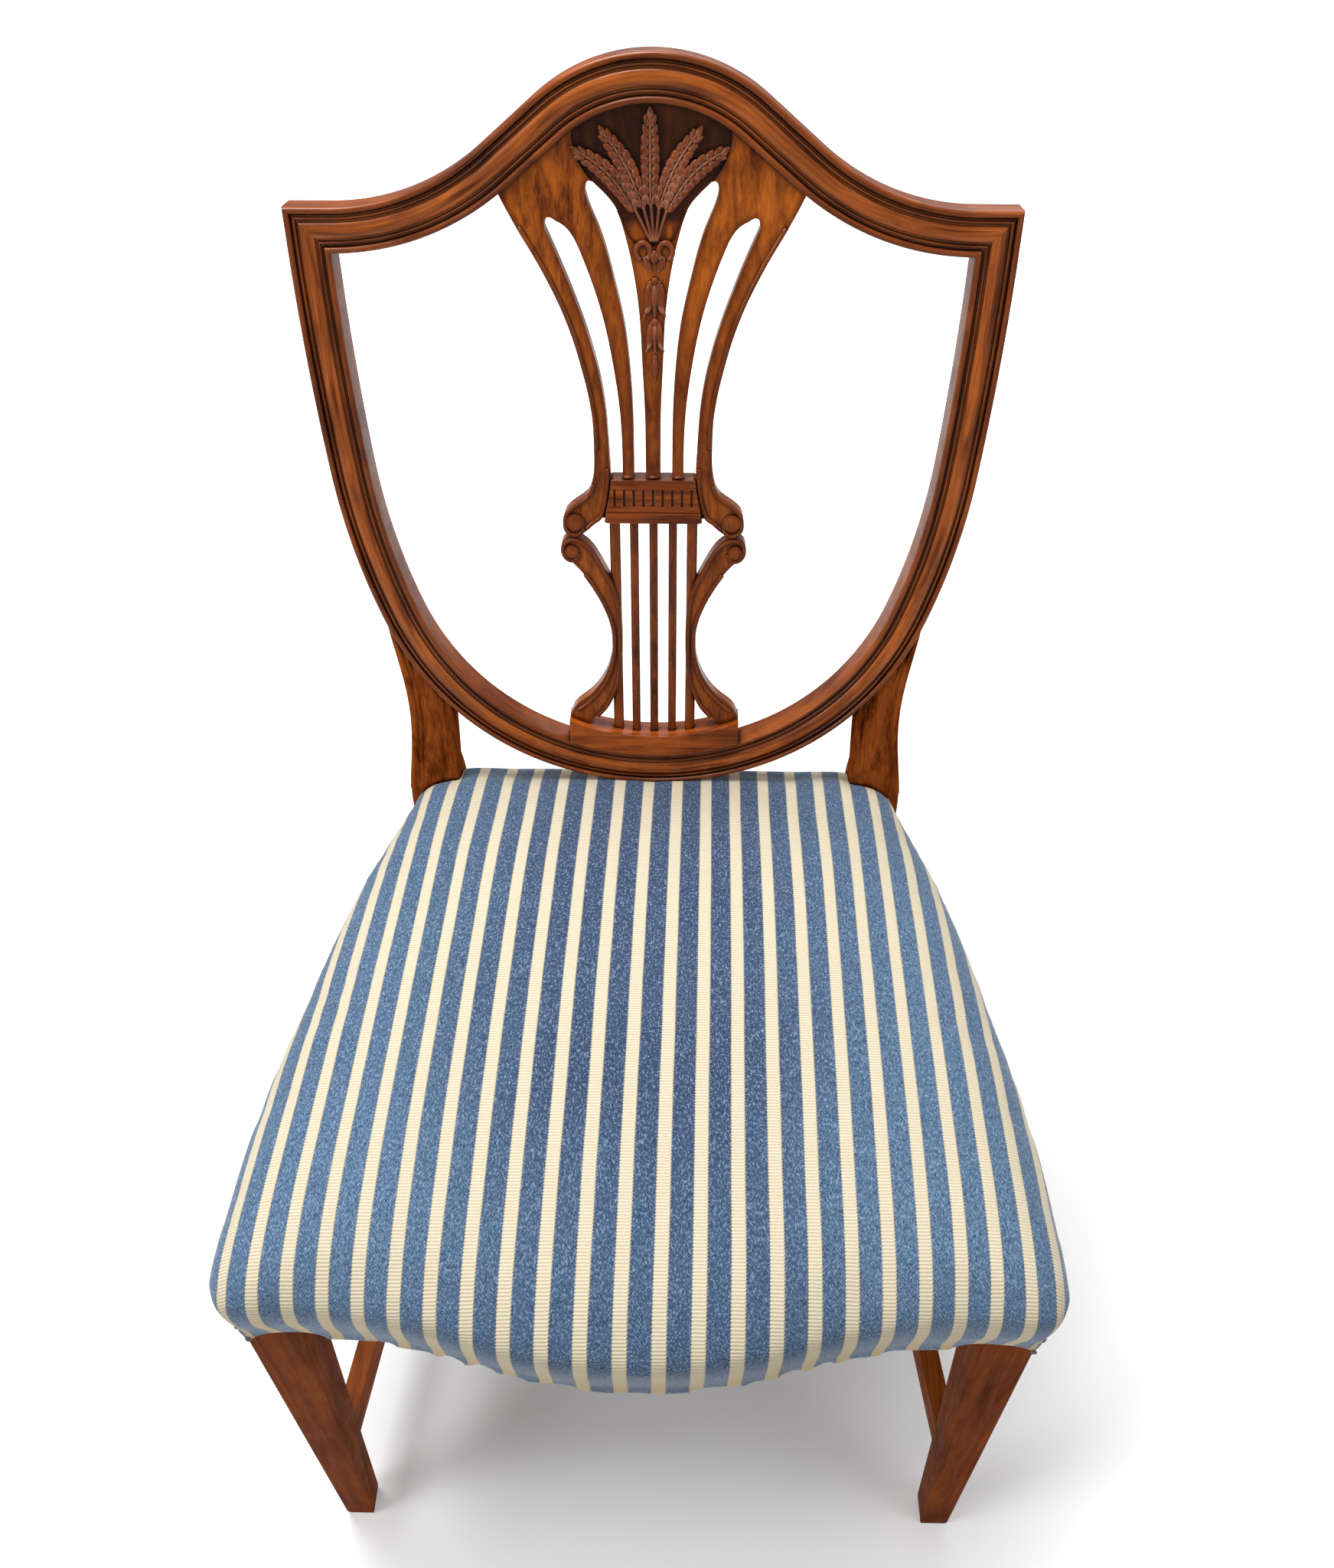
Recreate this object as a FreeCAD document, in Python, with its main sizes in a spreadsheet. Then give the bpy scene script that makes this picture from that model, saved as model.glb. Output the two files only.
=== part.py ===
"""Shield back side chair: hardwood frame, pierced splat and a stuffed over seat.

Frame of the model: millimetres, +Z up, the front of the chair faces -Y, and the
origin lies on the floor under the middle of the chair.
The back is drawn flat on the bench, in its own frame: X across, Y up the rake,
Z out of its front face.  Its placement leans it back over the seat.
"""
import FreeCAD
import Part
import Sketcher
import math
import os

from FreeCAD import Placement, Rotation, Vector

doc = FreeCAD.newDocument("shield_back_chair")
sheet = doc.addObject("Spreadsheet::Sheet", "sizes")


class Size:
    """A number together with the sheet formula that gives it."""

    def __init__(self, number, formula):
        self.number = float(number)
        self.formula = formula

    def _with(self, other, sign, number, swap=False):
        text = other.formula if isinstance(other, Size) else repr(float(other))
        pair = (text, self.formula) if swap else (self.formula, text)
        return Size(number, "(%s %s %s)" % (pair[0], sign, pair[1]))

    def __add__(self, other):
        return self._with(other, "+", self.number + plain(other))

    def __sub__(self, other):
        return self._with(other, "-", self.number - plain(other))

    def __mul__(self, other):
        return self._with(other, "*", self.number * plain(other))

    def __truediv__(self, other):
        return self._with(other, "/", self.number / plain(other))

    def __radd__(self, other):
        return self._with(other, "+", plain(other) + self.number, swap=True)

    def __rsub__(self, other):
        return self._with(other, "-", plain(other) - self.number, swap=True)

    def __rmul__(self, other):
        return self._with(other, "*", plain(other) * self.number, swap=True)

    def __neg__(self):
        return Size(-self.number, "(0 - %s)" % self.formula)


def plain(value):
    """The number of a size, or the number itself."""
    return value.number if isinstance(value, Size) else float(value)


def size(name, number):
    """Write one driving dimension to the sheet under its own alias."""
    size.row += 1
    sheet.set("A%d" % size.row, name)
    sheet.set("B%d" % size.row, repr(float(number)))
    sheet.setAlias("B%d" % size.row, name)
    return Size(number, "sizes.%s" % name)


size.row = 0

# Place of the back and of the seat frame
back_y = size("back_y", 175.0)              # front of the back at the seat
seat_line = size("seat_line", 447.2)        # height where the back leaves the seat
rake = size("rake", 12.0)                   # lean of the back, degrees
front_y = size("front_y", -266.3)           # front face of the front legs
leg_spread = size("leg_spread", 256.6)      # outer face of a front leg, from the middle

# Shield
crest_round = size("crest_round", 106.0)    # radius of the arch in the middle of the crest
crest_hollow = size("crest_hollow", 178.0)  # radius of the hollows on its two sides
shield_half = size("shield_half", 225.0)    # middle of a shield side at the top corner
corner_rise = size("corner_rise", 430.0)    # middle of the moulding at the top corner
base_drop = size("base_drop", 18.0)         # middle of the moulding at the bottom
crown_rise = size("crown_rise", 518.5)      # middle of the crest moulding at its top
moulding_width = size("moulding_width", 28.2)  # moulding of the shield frame, the same all round
frame_depth = size("frame_depth", 22.0)     # thickness of the shield frame
reed_depth = size("reed_depth", 2.4)        # depth of the grooves beside the reeds
glue_gap = size("glue_gap", 0.1)            # clearance round every tenon
tenon_length = size("tenon_length", 14.0)   # length of the frame tenons
tenon_thick = size("tenon_thick", 7.0)      # thickness of the frame tenons

# Foot of the back post, under the shield
post_outer = size("post_outer", 203.5)      # outer edge at the seat
post_inner = size("post_inner", 162.5)      # inner edge at the seat
post_waist = size("post_waist", 197.2)      # outer edge at its narrowest
waist_rise = size("waist_rise", 68.0)       # height of that place

# Splat
splat_depth = size("splat_depth", 11.0)     # thickness of the pierced board
splat_set = size("splat_set", 4.5)          # its front lies behind the reeds
tablet_low = size("tablet_low", 231.0)      # underside of the tablet
tablet_height = size("tablet_height", 32.0)
tablet_half = size("tablet_half", 30.3)     # half width of the tablet
tablet_depth = size("tablet_depth", 17.0)
tablet_set = size("tablet_set", 1.5)        # its front lies this far behind the reeds
band_height = size("band_height", 7.5)      # moulded band along the foot of the tablet
band_proud = size("band_proud", 1.5)
flute_pitch = size("flute_pitch", 7.0)
flute_width = size("flute_width", 1.8)
flute_height = size("flute_height", 12.0)
flute_depth = size("flute_depth", 1.2)
scroll_drop = size("scroll_drop", 12.3)     # upper scrolls reach this far under the tablet
upper_boss = size("upper_boss", 6.4)        # radius of the round boss in an upper scroll
lower_boss = size("lower_boss", 5.2)
boss_proud = size("boss_proud", 2.0)
ground_depth = size("ground_depth", 2.5)    # ground cut back behind the carved ears
string_pitch = size("string_pitch", 14.35)
string_width = size("string_width", 6.3)
string_depth = size("string_depth", 7.0)
outer_string = size("outer_string", 7.8)    # the outer strings are wider
shoe_half = size("shoe_half", 67.8)
shoe_bow = size("shoe_bow", 13.8)           # the top of the shoe rises to its ends
shoe_depth = size("shoe_depth", 23.0)
shoe_height = size("shoe_height", 18.0)
shoe_proud = size("shoe_proud", 3.0)        # it stands out in front of the frame
housing = size("housing", 5.0)              # depth of the splat in the crest rail
fan_reach = size("fan_reach", 99.0)         # half width of the splat at the crest rail
rib_housing = size("rib_housing", 5.0)      # depth of ribs and strings in what takes them

# Seat frame
rail_top = size("rail_top", 436.0)
rail_low = size("rail_low", 388.0)
rail_thick = size("rail_thick", 22.0)
seat_bow = size("seat_bow", 31.0)           # the front bows out between the legs
side_bow = size("side_bow", 8.0)           # the sides bow out between leg and post
leg_top_side = size("leg_top_side", 37.0)   # front leg at the seat frame
leg_foot_side = size("leg_foot_side", 23.0)  # front leg on the floor
post_depth = size("post_depth", 33.0)       # back leg front to back at the seat
foot_back = size("foot_back", 62.0)         # the back foot stands behind the seat joint
back_foot_side = size("back_foot_side", 27.0)
stretcher_top = size("stretcher_top", 140.0)
stretcher_height = size("stretcher_height", 26.0)
stretcher_thick = size("stretcher_thick", 16.0)
block_leg = size("block_leg", 62.0)         # glued sides of a corner block
block_height = size("block_height", 32.0)

cross_y = size("cross_y", -30.0)            # middle of the cross stretcher

# Upholstery
cover_half = size("cover_half", 270.8)      # half width of the seat at its fullest
cover_front = size("cover_front", 13.2)     # the cover stands this far before the legs
cover_turn = size("cover_turn", 16.0)       # turned under the rails
web_space = size("web_space", 22.0)         # between two webs
web_width = size("web_width", 50.0)
web_thick = size("web_thick", 1.5)
cloth_thick = size("cloth_thick", 1.0)
cover_thick = size("cover_thick", 2.0)
crown_height = size("crown_height", 481.0)  # top of the seat
soft_gap = size("soft_gap", 0.3)            # soft pieces stay this far apart
post_room = size("post_room", 0.9)          # and this far from the curved fronts of the posts
doc.recompute()


# Helpers

def bind(target, prop, value):
    """Set a property and, for a size, bind it to the sheet."""
    setattr(target, prop, plain(value))
    if isinstance(value, Size):
        target.setExpression(prop, value.formula)


def new_body(label):
    """An empty body with its label."""
    body = doc.addObject("PartDesign::Body", label)
    body.Label = label
    return body


def new_sketch(body, name, role="XY_Plane", lift=0.0):
    """A sketch on one origin plane of its body, lifted along the plane's normal."""
    sketch = body.newObject("Sketcher::SketchObject", name)
    plane = [item for item in body.Origin.OriginFeatures if item.Role == role][0]
    sketch.AttachmentSupport = [(plane, "")]
    sketch.MapMode = "FlatFace"
    sketch.AttachmentOffset = Placement(Vector(0, 0, plain(lift)), Rotation())
    if isinstance(lift, Size):
        sketch.setExpression("AttachmentOffset.Base.z", lift.formula)
    return sketch


def spot(pair):
    """A point of a sketch from a pair of sizes or numbers."""
    return Vector(plain(pair[0]), plain(pair[1]), 0)


def pin(sketch, edge, end, pair):
    """Hold one end of an edge at its distances from the two axes."""
    for value, kind, axis in ((pair[0], "DistanceX", -2), (pair[1], "DistanceY", -1)):
        if abs(plain(value)) < 1e-6:
            sketch.addConstraint(Sketcher.Constraint("PointOnObject", edge, end, axis))
            continue
        index = sketch.addConstraint(Sketcher.Constraint(kind, -1, 1, edge, end, plain(value)))
        if isinstance(value, Size):
            sketch.setExpression("Constraints[%d]" % index, value.formula)


def draw_polygon(sketch, corners):
    """A closed outline of straight edges whose corners are pinned to their sizes."""
    count = len(corners)
    first = sketch.GeometryCount
    for k in range(count):
        sketch.addGeometry(Part.LineSegment(spot(corners[k]), spot(corners[(k + 1) % count])))
    for k in range(count):
        before = first + (k - 1) % count
        sketch.addConstraint(Sketcher.Constraint("Coincident", before, 2, first + k, 1))
    for k in range(count):
        pin(sketch, first + k, 1, corners[k])


def draw_rectangle(sketch, low, high):
    """A pinned rectangle between two corners."""
    draw_polygon(sketch, [low, (high[0], low[1]), high, (low[0], high[1])])


def smooth(points, start=None, finish=None):
    """A curve through points, with the end directions where they are given."""
    curve = Part.BSplineCurve()
    knots = [spot(p) for p in points]
    if start is None and finish is None:
        curve.interpolate(knots)
    else:
        ends = {"InitialTangent": Vector(*start, 0), "FinalTangent": Vector(*finish, 0)}
        curve.interpolate(knots, **ends)
    return curve


def draw_runs(sketch, runs):
    """A closed outline of runs: edges, or lists of points where two make a line and more a curve."""
    for run in runs:
        if not isinstance(run, list):
            sketch.addGeometry(run)
        elif len(run) == 2:
            sketch.addGeometry(Part.LineSegment(spot(run[0]), spot(run[1])))
        else:
            sketch.addGeometry(smooth(run))


def pad(body, sketch, length, name, reverse=False):
    """Pad a sketch by a size."""
    feature = body.newObject("PartDesign::Pad", name)
    feature.Profile = sketch
    bind(feature, "Length", length)
    feature.Reversed = reverse
    body.Tip = feature
    return feature


def pocket(body, sketch, length, name, reverse=False):
    """Cut a sketch to a depth, and make sure that the cut meets the piece."""
    doc.recompute()
    before = body.Shape.Volume
    feature = body.newObject("PartDesign::Pocket", name)
    feature.Profile = sketch
    bind(feature, "Length", length)
    feature.Reversed = reverse
    body.Tip = feature
    doc.recompute()
    if not body.Shape.Volume < before - 1e-3:
        raise ValueError("%s cuts nothing" % name)
    return feature


def pipe(body, profile, spine, name):
    """Sweep a profile along a spine in one plane."""
    feature = body.newObject("PartDesign::AdditivePipe", name)
    feature.Profile = profile
    feature.Spine = (spine, ["Edge%d" % (k + 1) for k in range(spine.GeometryCount)])
    body.Tip = feature
    return feature


def loft(body, sections, name, ruled=False):
    """Loft through sketches."""
    feature = body.newObject("PartDesign::AdditiveLoft", name)
    feature.Profile = sections[0]
    feature.Sections = sections[1:]
    feature.Ruled = ruled
    body.Tip = feature
    return feature


def combine(kind, label, parts):
    """A boolean of whole pieces."""
    if kind == "Part::Cut":
        result = doc.addObject(kind, label)
        result.Base = parts[0]
        result.Tool = parts[1]
    else:
        result = doc.addObject(kind, label)
        result.Shapes = parts
    result.Label = label
    return result


def mirror(source, label):
    """The same piece for the other side of the chair."""
    result = doc.addObject("Part::Mirroring", label)
    result.Source = source
    result.Normal = Vector(1, 0, 0)
    result.Base = Vector(0, 0, 0)
    result.Label = label
    return result


def block(label, low, high):
    """A plain block between two corners, bound to its sizes."""
    box = doc.addObject("Part::Box", label)
    box.Label = label
    for prop, a, b in zip(("Length", "Width", "Height"), low, high):
        bind(box, prop, b - a)
    for axis, value in zip("xyz", low):
        setattr(box.Placement.Base, axis, plain(value))
    box.Placement = Placement(Vector(*[plain(v) for v in low]), Rotation())
    for axis, value in zip("xyz", low):
        if isinstance(value, Size):
            box.setExpression("Placement.Base.%s" % axis, value.formula)
    return box


def on_the_rake(piece):
    """Stand a piece of the back up on its rake, over the seat frame."""
    turn = Rotation(Vector(1, 0, 0), 90.0 - plain(rake))
    piece.Placement = Placement(Vector(0, plain(back_y), plain(seat_line)), turn)
    piece.setExpression("Placement.Base.y", back_y.formula)
    piece.setExpression("Placement.Base.z", seat_line.formula)
    return piece


finished = []


def finish(piece, label):
    """Name a piece and keep it for writing."""
    piece.Label = label
    finished.append(piece)
    return piece


# Shield curves, on the middle of the moulding

SIDE_SHAPE = ((0.3712, 0.0412), (0.7316, 0.1962), (0.8588, 0.3265), (0.9697, 0.6068), (1.0, 1.0))


class Path:
    """Arcs and straights laid end to end, each leaving in the direction the last one ended in."""

    def __init__(self, start, heading=0.0):
        self.pieces = []
        self.end = (plain(start[0]), plain(start[1]))
        self.heading = heading

    def straight(self, length):
        """Go straight on for a length."""
        x, y = self.end
        self.pieces.append((x, y, self.heading, 0.0, length))
        self.end = (x + math.cos(self.heading) * length, y + math.sin(self.heading) * length)
        return self

    def arc_to(self, point):
        """Turn evenly until a point is reached."""
        x, y = self.end
        across, up = plain(point[0]) - x, plain(point[1]) - y
        turn = 2 * (math.atan2(up, across) - self.heading)
        length = math.hypot(across, up) * (turn / 2) / math.sin(turn / 2)
        self.pieces.append((x, y, self.heading, turn / length, length))
        self.end = (plain(point[0]), plain(point[1]))
        self.heading += turn
        return self

    def length(self):
        """Length of the whole path."""
        return sum(piece[4] for piece in self.pieces)

    def place(self, share):
        """Point and direction at a share of the length."""
        left = share * self.length()
        for x, y, heading, bend, length in self.pieces:
            if left <= length:
                break
            left -= length
        left = min(left, length)
        after = heading + bend * left
        if not bend:
            return (x + math.cos(heading) * left, y + math.sin(heading) * left), heading
        return (x + (math.sin(after) - math.sin(heading)) / bend, y - (math.cos(after) - math.cos(heading)) / bend), after

    def beside(self, distance, share):
        """A point at a distance on the left of the path."""
        (x, y), heading = self.place(share)
        return (x - math.sin(heading) * distance, y + math.cos(heading) * distance)

    def stretches(self, first, last):
        """The pieces between two shares of the length: start, direction, bend and length of each."""
        cut, found = 0.0, []
        low, high = first * self.length(), last * self.length()
        for x, y, heading, bend, length in self.pieces:
            start, stop = max(low - cut, 0.0), min(high - cut, length)
            if stop - start > 1e-6:
                point, along = self.place((cut + start) / self.length())
                found.append((point if start else (x, y), along if start else heading, bend, stop - start))
            cut += length
        return found

    def edges(self, first, last, aside=0.0):
        """The same pieces as edges, shifted to the left by a distance."""
        found = []
        for (x, y), heading, bend, length in self.stretches(first, last):
            piece = Path((x, y), heading)
            piece.pieces.append((x, y, heading, bend, length))
            points = [spot(piece.beside(aside, share)) for share in (0.0, 0.5, 1.0)]
            found.append(Part.Arc(*points) if bend else Part.LineSegment(points[0], points[2]))
        return found

    def share_where(self, test):
        """The share of the length at which a test of it turns false."""
        low, high = 0.0, 1.0
        for _ in range(50):
            middle = (low + high) / 2
            low, high = (middle, high) if test(middle) else (low, middle)
        return low


def crest_path():
    """Middle of the crest moulding: arch, straight, hollow, and level from the mitre to past the corner."""
    mitre = plain(moulding_width) / 2
    half, rise = plain(shield_half) - mitre, plain(crown_rise - corner_rise)
    both = plain(crest_round + crest_hollow)
    straight = math.sqrt(half * half + rise * rise - 2 * both * rise)
    turn = math.atan2(half, both - rise) - math.atan2(straight, both)
    arch = plain(crest_round)
    path = Path((0.0, crown_rise)).arc_to((arch * math.sin(turn), plain(crown_rise) - arch * (1 - math.cos(turn))))
    path.straight(straight).arc_to((half, corner_rise))
    return path.straight(mitre * 2 + 2.0)


def side_path():
    """Middle of the side moulding from the bottom of the shield to the corner."""
    rise = corner_rise - base_drop
    path = Path((0.0, base_drop))
    for x, y in SIDE_SHAPE:
        path.arc_to((shield_half * x, base_drop + rise * y))
    return path


def mirrored_edge(edge):
    """The same edge of a sketch on the other side of its second axis."""
    other = edge.copy()
    other.mirror(Vector(0, 0, 0), Vector(0, 1, 0))
    return other


def both_sides(edges):
    """Edges from the middle outwards, with their mirror images before them."""
    return [mirrored_edge(edge) for edge in reversed(edges)] + edges


def draw_moulding(sketch, width, centre=(0.0, 0.0)):
    """Section of the reeded moulding: two beads and two fine reeds beside a broad band.

    The section lies across the first axis of the sketch, and its face looks along
    the second axis.
    """
    unit = plain(width) / 29.0
    low = plain(reed_depth)
    back = plain(frame_depth)
    half = plain(width) / 2
    cx, cy = plain(centre[0]), plain(centre[1])

    def at(x, y):
        return Vector(cx + x, cy + y, 0)

    bead, groove, reed, cove = 4.6 * unit, 0.9 * unit, 2.2 * unit, 0.8 * unit
    steps = [(-half, -low), (-half + bead, -low), (-half + bead + groove, -low)]
    steps.append((steps[-1][0] + reed, -low))
    steps.append((steps[-1][0] + cove, -low))
    steps += [(-x, y) for x, y in reversed(steps)]
    tops = {0: -0.8, 2: -1.7, 4: 0.0, 6: -1.7, 8: -0.8}
    for k in range(len(steps) - 1):
        a, b = steps[k], steps[k + 1]
        if k in tops:
            middle = ((a[0] + b[0]) / 2, tops[k])
            sketch.addGeometry(Part.Arc(at(*a), at(*middle), at(*b)))
        else:
            sketch.addGeometry(Part.LineSegment(at(*a), at(*b)))
    sketch.addGeometry(Part.LineSegment(at(half, -low), at(half, -back)))
    sketch.addGeometry(Part.LineSegment(at(half, -back), at(-half, -back)))
    sketch.addGeometry(Part.LineSegment(at(-half, -back), at(-half, -low)))


def moulded_member(label, path, first, last, draw):
    """A member whose section follows a path: turned round each arc and pushed along each straight."""
    body = new_body(label)
    for k, ((x, y), heading, bend, length) in enumerate(path.stretches(first, last)):
        section = body.newObject("Sketcher::SketchObject", "%s_section_%d" % (label, k + 1))
        along = Vector(math.cos(heading), math.sin(heading), 0)
        across = Vector(-along.y, along.x, 0)
        to_centre = 1 / bend if bend else 0.0
        centre = Vector(x, y, 0) + across * to_centre
        section.Placement = Placement(centre, Rotation(across, Vector(0, 0, 1), along, "ZXY"))
        draw(section, (-to_centre, 0.0))
        if bend:
            feature = body.newObject("PartDesign::Revolution", "%s_turn_%d" % (label, k + 1))
            feature.Profile = section
            feature.ReferenceAxis = (section, ["V_Axis"])
            feature.Angle = math.degrees(abs(bend) * length)
            feature.Reversed = bend < 0
            body.Tip = feature
        else:
            pad(body, section, length, "%s_run_%d" % (label, k + 1))
    return body


def line(a, b):
    """A straight stretch."""
    return Part.LineSegment(spot(a), spot(b))


def mirrored_pair(label, half):
    """A piece drawn for one side, joined to its own mirror image."""
    return combine("Part::MultiFuse", label, [half, mirror(half, label + "_other_half")])


def cut(label, piece, tools):
    """A piece less one or more tools."""
    tool = tools[0] if len(tools) == 1 else combine("Part::MultiFuse", label + "_tools", tools)
    return combine("Part::Cut", label, [piece, tool])


# Joints of the shield: at the foot of each side, and under the mitred corner

base = side_path()
crest = crest_path()
under_corner = corner_rise - moulding_width / 2
joint_share = base.share_where(lambda share: base.place(share)[0][0] < plain(post_inner) - 10.0)
stile_share = base.share_where(lambda share: base.place(share)[0][1] < plain(under_corner))
crest_inner = crown_rise - moulding_width / 2
base_inner = base_drop + moulding_width / 2
shoe_top = base_inner + shoe_height


def crest_rail():
    """Crest rail: swept reeding, its corners mitred, housed for the splat."""
    half = moulded_member("crest_half", crest, 0.0, 1.0,
                          lambda sketch, centre: draw_moulding(sketch, moulding_width, centre))
    inner = (shield_half - moulding_width / 2, corner_rise - moulding_width / 2)
    outer = (shield_half + moulding_width / 2, corner_rise + moulding_width / 2)
    past_inner = (inner[0] * 2 - outer[0], inner[1] * 2 - outer[1])
    past_outer = (outer[0] * 2 - inner[0], outer[1] * 2 - inner[1])
    beyond = new_sketch(half, "beyond_the_mitre", lift=-frame_depth - 1)
    draw_polygon(beyond, [past_inner, (past_outer[0], past_inner[1]), past_outer])
    pocket(half, beyond, frame_depth + 2, "mitre_cut", reverse=True)
    corner = new_body("crest_corner")
    foot = new_sketch(corner, "corner_section", "XZ_Plane", lift=-under_corner)
    draw_moulding(foot, moulding_width, (shield_half, 0))
    pad(corner, foot, moulding_width, "corner_pad", reverse=True)
    above = new_sketch(corner, "above_the_mitre", lift=-frame_depth - 1)
    draw_polygon(above, [past_inner, past_outer, (past_inner[0], past_outer[1])])
    pocket(corner, above, frame_depth + 2, "corner_mitre_cut", reverse=True)
    side = combine("Part::MultiFuse", "crest_side", [half, corner])
    whole = mirrored_pair("crest_blank", side)
    tools = [splat_housing(), stile_tenon("stile_mortise", glue_gap)]
    tools.append(mirror(tools[1], "left_stile_mortise"))
    return finish(on_the_rake(cut("crest_rail", whole, tools)), "crest_rail")


def stile_tenon(label, room):
    """Tenon on top of a shield side, or with room round it the mortise for it."""
    half = tenon_length / 2 + room
    middle = frame_depth / 2
    return block(label,
                 (shield_half - half, under_corner - 1, -middle - tenon_thick / 2 - room),
                 (shield_half + half, under_corner + tenon_length - 4 + room, tenon_thick / 2 - middle + room))


def reach_share(path, distance, reach):
    """Share of a path whose neighbour at a distance lies at a reach from the middle."""
    return path.share_where(lambda share: path.beside(distance, share)[0] < plain(reach))


def crest_underside(depth, reach):
    """Edges along the underside of the crest, sunk into it, from the middle to a reach, and their end."""
    aside = plain(depth) - plain(moulding_width) / 2
    last = reach_share(crest, aside, reach)
    return crest.edges(0.0, last, aside), crest.beside(aside, last)


def splat_housing():
    """Groove in the crest rail that takes the top edge of the splat."""
    body = new_body("splat_housing")
    top, end = crest_underside(housing + glue_gap, fan_reach + glue_gap)
    low = crest_inner - fan_reach
    sketch = new_sketch(body, "housing_outline", lift=-splat_set - splat_depth - glue_gap)
    draw_runs(sketch, both_sides(top) + [[end, (end[0], low)], [(end[0], low), (-end[0], low)],
                                         [(-end[0], low), (-end[0], end[1])]])
    pad(body, sketch, splat_depth + glue_gap * 2, "housing_pad")
    return body


# Splat

tablet_top = tablet_low + tablet_height
splat_front = -splat_set
splat_back = -splat_set - splat_depth
contact = tablet_low - scroll_drop

CENTRE_RIB_EDGE = ((5.3, 0.062), (5.6, 0.2), (7.1, 0.332), (8.5, 0.459), (12.2, 0.581), (18.9, 0.699),
                   (24.9, 0.757), (29.5, 0.779), (36.4, 0.805))
INNER_TIP = ((36.4, 0.805), (40.5, 0.8156), (43.0, 0.79))
INNER_RIB_NEAR = ((43.0, 0.79), (40.6, 0.755), (34.8, 0.699), (26.3, 0.581), (19.6, 0.459),
                  (15.8, 0.332), (14.0, 0.2), (13.7, 0.062))
INNER_RIB_FAR = ((21.9, 0.062), (23.1, 0.2), (27.1, 0.332), (33.0, 0.459), (42.0, 0.581),
                 (47.6, 0.6406), (55.9, 0.699), (62.5, 0.716))
OUTER_TIP = ((62.5, 0.716), (68.3, 0.7245), (70.3, 0.70))
OUTER_RIB_NEAR = ((70.3, 0.70), (58.0, 0.581), (47.0, 0.459), (38.2, 0.332), (33.0, 0.2), (31.2, 0.062))
OUTER_RIB_FAR = ((42.2, 0.09), (43.2, 0.2), (49.5, 0.332), (58.8, 0.459), (72.2, 0.581), (88.5, 0.699))
GROUND_EDGE = ((41.5, 0.827), (37.0, 0.806), (27.0, 0.766), (20.0, 0.72), (14.0, 0.67), (0.0, 0.655))
SCROLL_NEAR = ((30.9, 30.7), (32.5, 20.0), (34.6, 10.0), (38.15, 1.6), (43.3, -2.4), (48.3, -7.0),
               (52.9, -10.6))
SCROLL_END = ((52.9, -10.6), (60.2, -12.3), (65.4, -8.4), (66.5, -0.7), (65.0, 5.7), (60.2, 11.2),
              (53.6, 15.9), (47.9, 20.8), (44.6, 28.0))


def fan_points(nodes):
    """Points of the fan: reach from the middle, share of the way from tablet to crest."""
    return [(x, tablet_top + (crest_inner - tablet_top) * y) for x, y in nodes]


def scroll_points(nodes):
    """Points of an upper scroll, measured from the underside of the tablet."""
    return [(x, tablet_low + y) for x, y in nodes]


def splat_fan():
    """Pierced upper board: five ribs, two scrolls, and a ground cut back for the carving."""
    body = new_body("fan_half")
    low = tablet_top - rib_housing
    top, corner = crest_underside(housing, fan_reach)
    shoulder = crest_underside(0.0, fan_reach)[1]
    near_end = [(13.7, low)]
    far_end = [(21.9, low)]
    outline = new_sketch(body, "fan_outline", lift=splat_back)
    draw_runs(outline, [
        [(0, low), (5.2, low)],
        [(5.2, low)] + fan_points(CENTRE_RIB_EDGE),
        fan_points(INNER_TIP),
        fan_points(INNER_RIB_NEAR) + near_end,
        near_end + far_end,
        far_end + fan_points(INNER_RIB_FAR),
        fan_points(OUTER_TIP),
        fan_points(OUTER_RIB_NEAR) + scroll_points(SCROLL_NEAR),
        scroll_points(SCROLL_END) + fan_points(OUTER_RIB_FAR) + [shoulder],
        [shoulder, corner],
        [(0, crest_inner + housing), (0, low)]] + top)
    pad(body, outline, splat_depth, "fan_pad")
    ground = new_sketch(body, "ground_outline", lift=splat_front)
    edge, end = crest_underside(0.0, 50.5)
    fade = fan_points(GROUND_EDGE)
    draw_runs(ground, edge + [[end] + fade, [fade[-1], (0, crest_inner)]])
    pocket(body, ground, ground_depth, "ground_cut")
    boss = new_sketch(body, "boss_outline", lift=splat_front)
    boss.addGeometry(Part.Circle(spot((57.8, tablet_low - 0.7)), Vector(0, 0, 1), plain(upper_boss)))
    pad(body, boss, boss_proud, "boss_pad")
    return finish(on_the_rake(mirrored_pair("splat_fan", body)), "splat_fan")


def rib_mortises(room):
    """Mortises in the top of the tablet for the three ribs that stand on it."""
    spans = ((-5.2, 5.2), (13.7, 21.9), (-21.9, -13.7))
    return [block("rib_mortise_%d" % k,
                  (a - room, tablet_top - rib_housing - room, splat_back - room),
                  (b + room, tablet_top + 1, splat_front + room)) for k, (a, b) in enumerate(spans)]


def string_front():
    """Front of the strings, a little behind the pierced board."""
    return splat_front - 1.5


def string_mortises(label, low, high, room):
    """Mortises for the five strings between two heights."""
    boxes = []
    for k in range(-2, 3):
        half = (string_width / 2 if abs(k) < 2 else outer_string / 2) + room
        middle = string_pitch * k
        boxes.append(block("%s_%d" % (label, k + 3),
                           (middle - half, low, string_front() - string_depth - room),
                           (middle + half, high, string_front() + room)))
    return boxes


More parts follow.
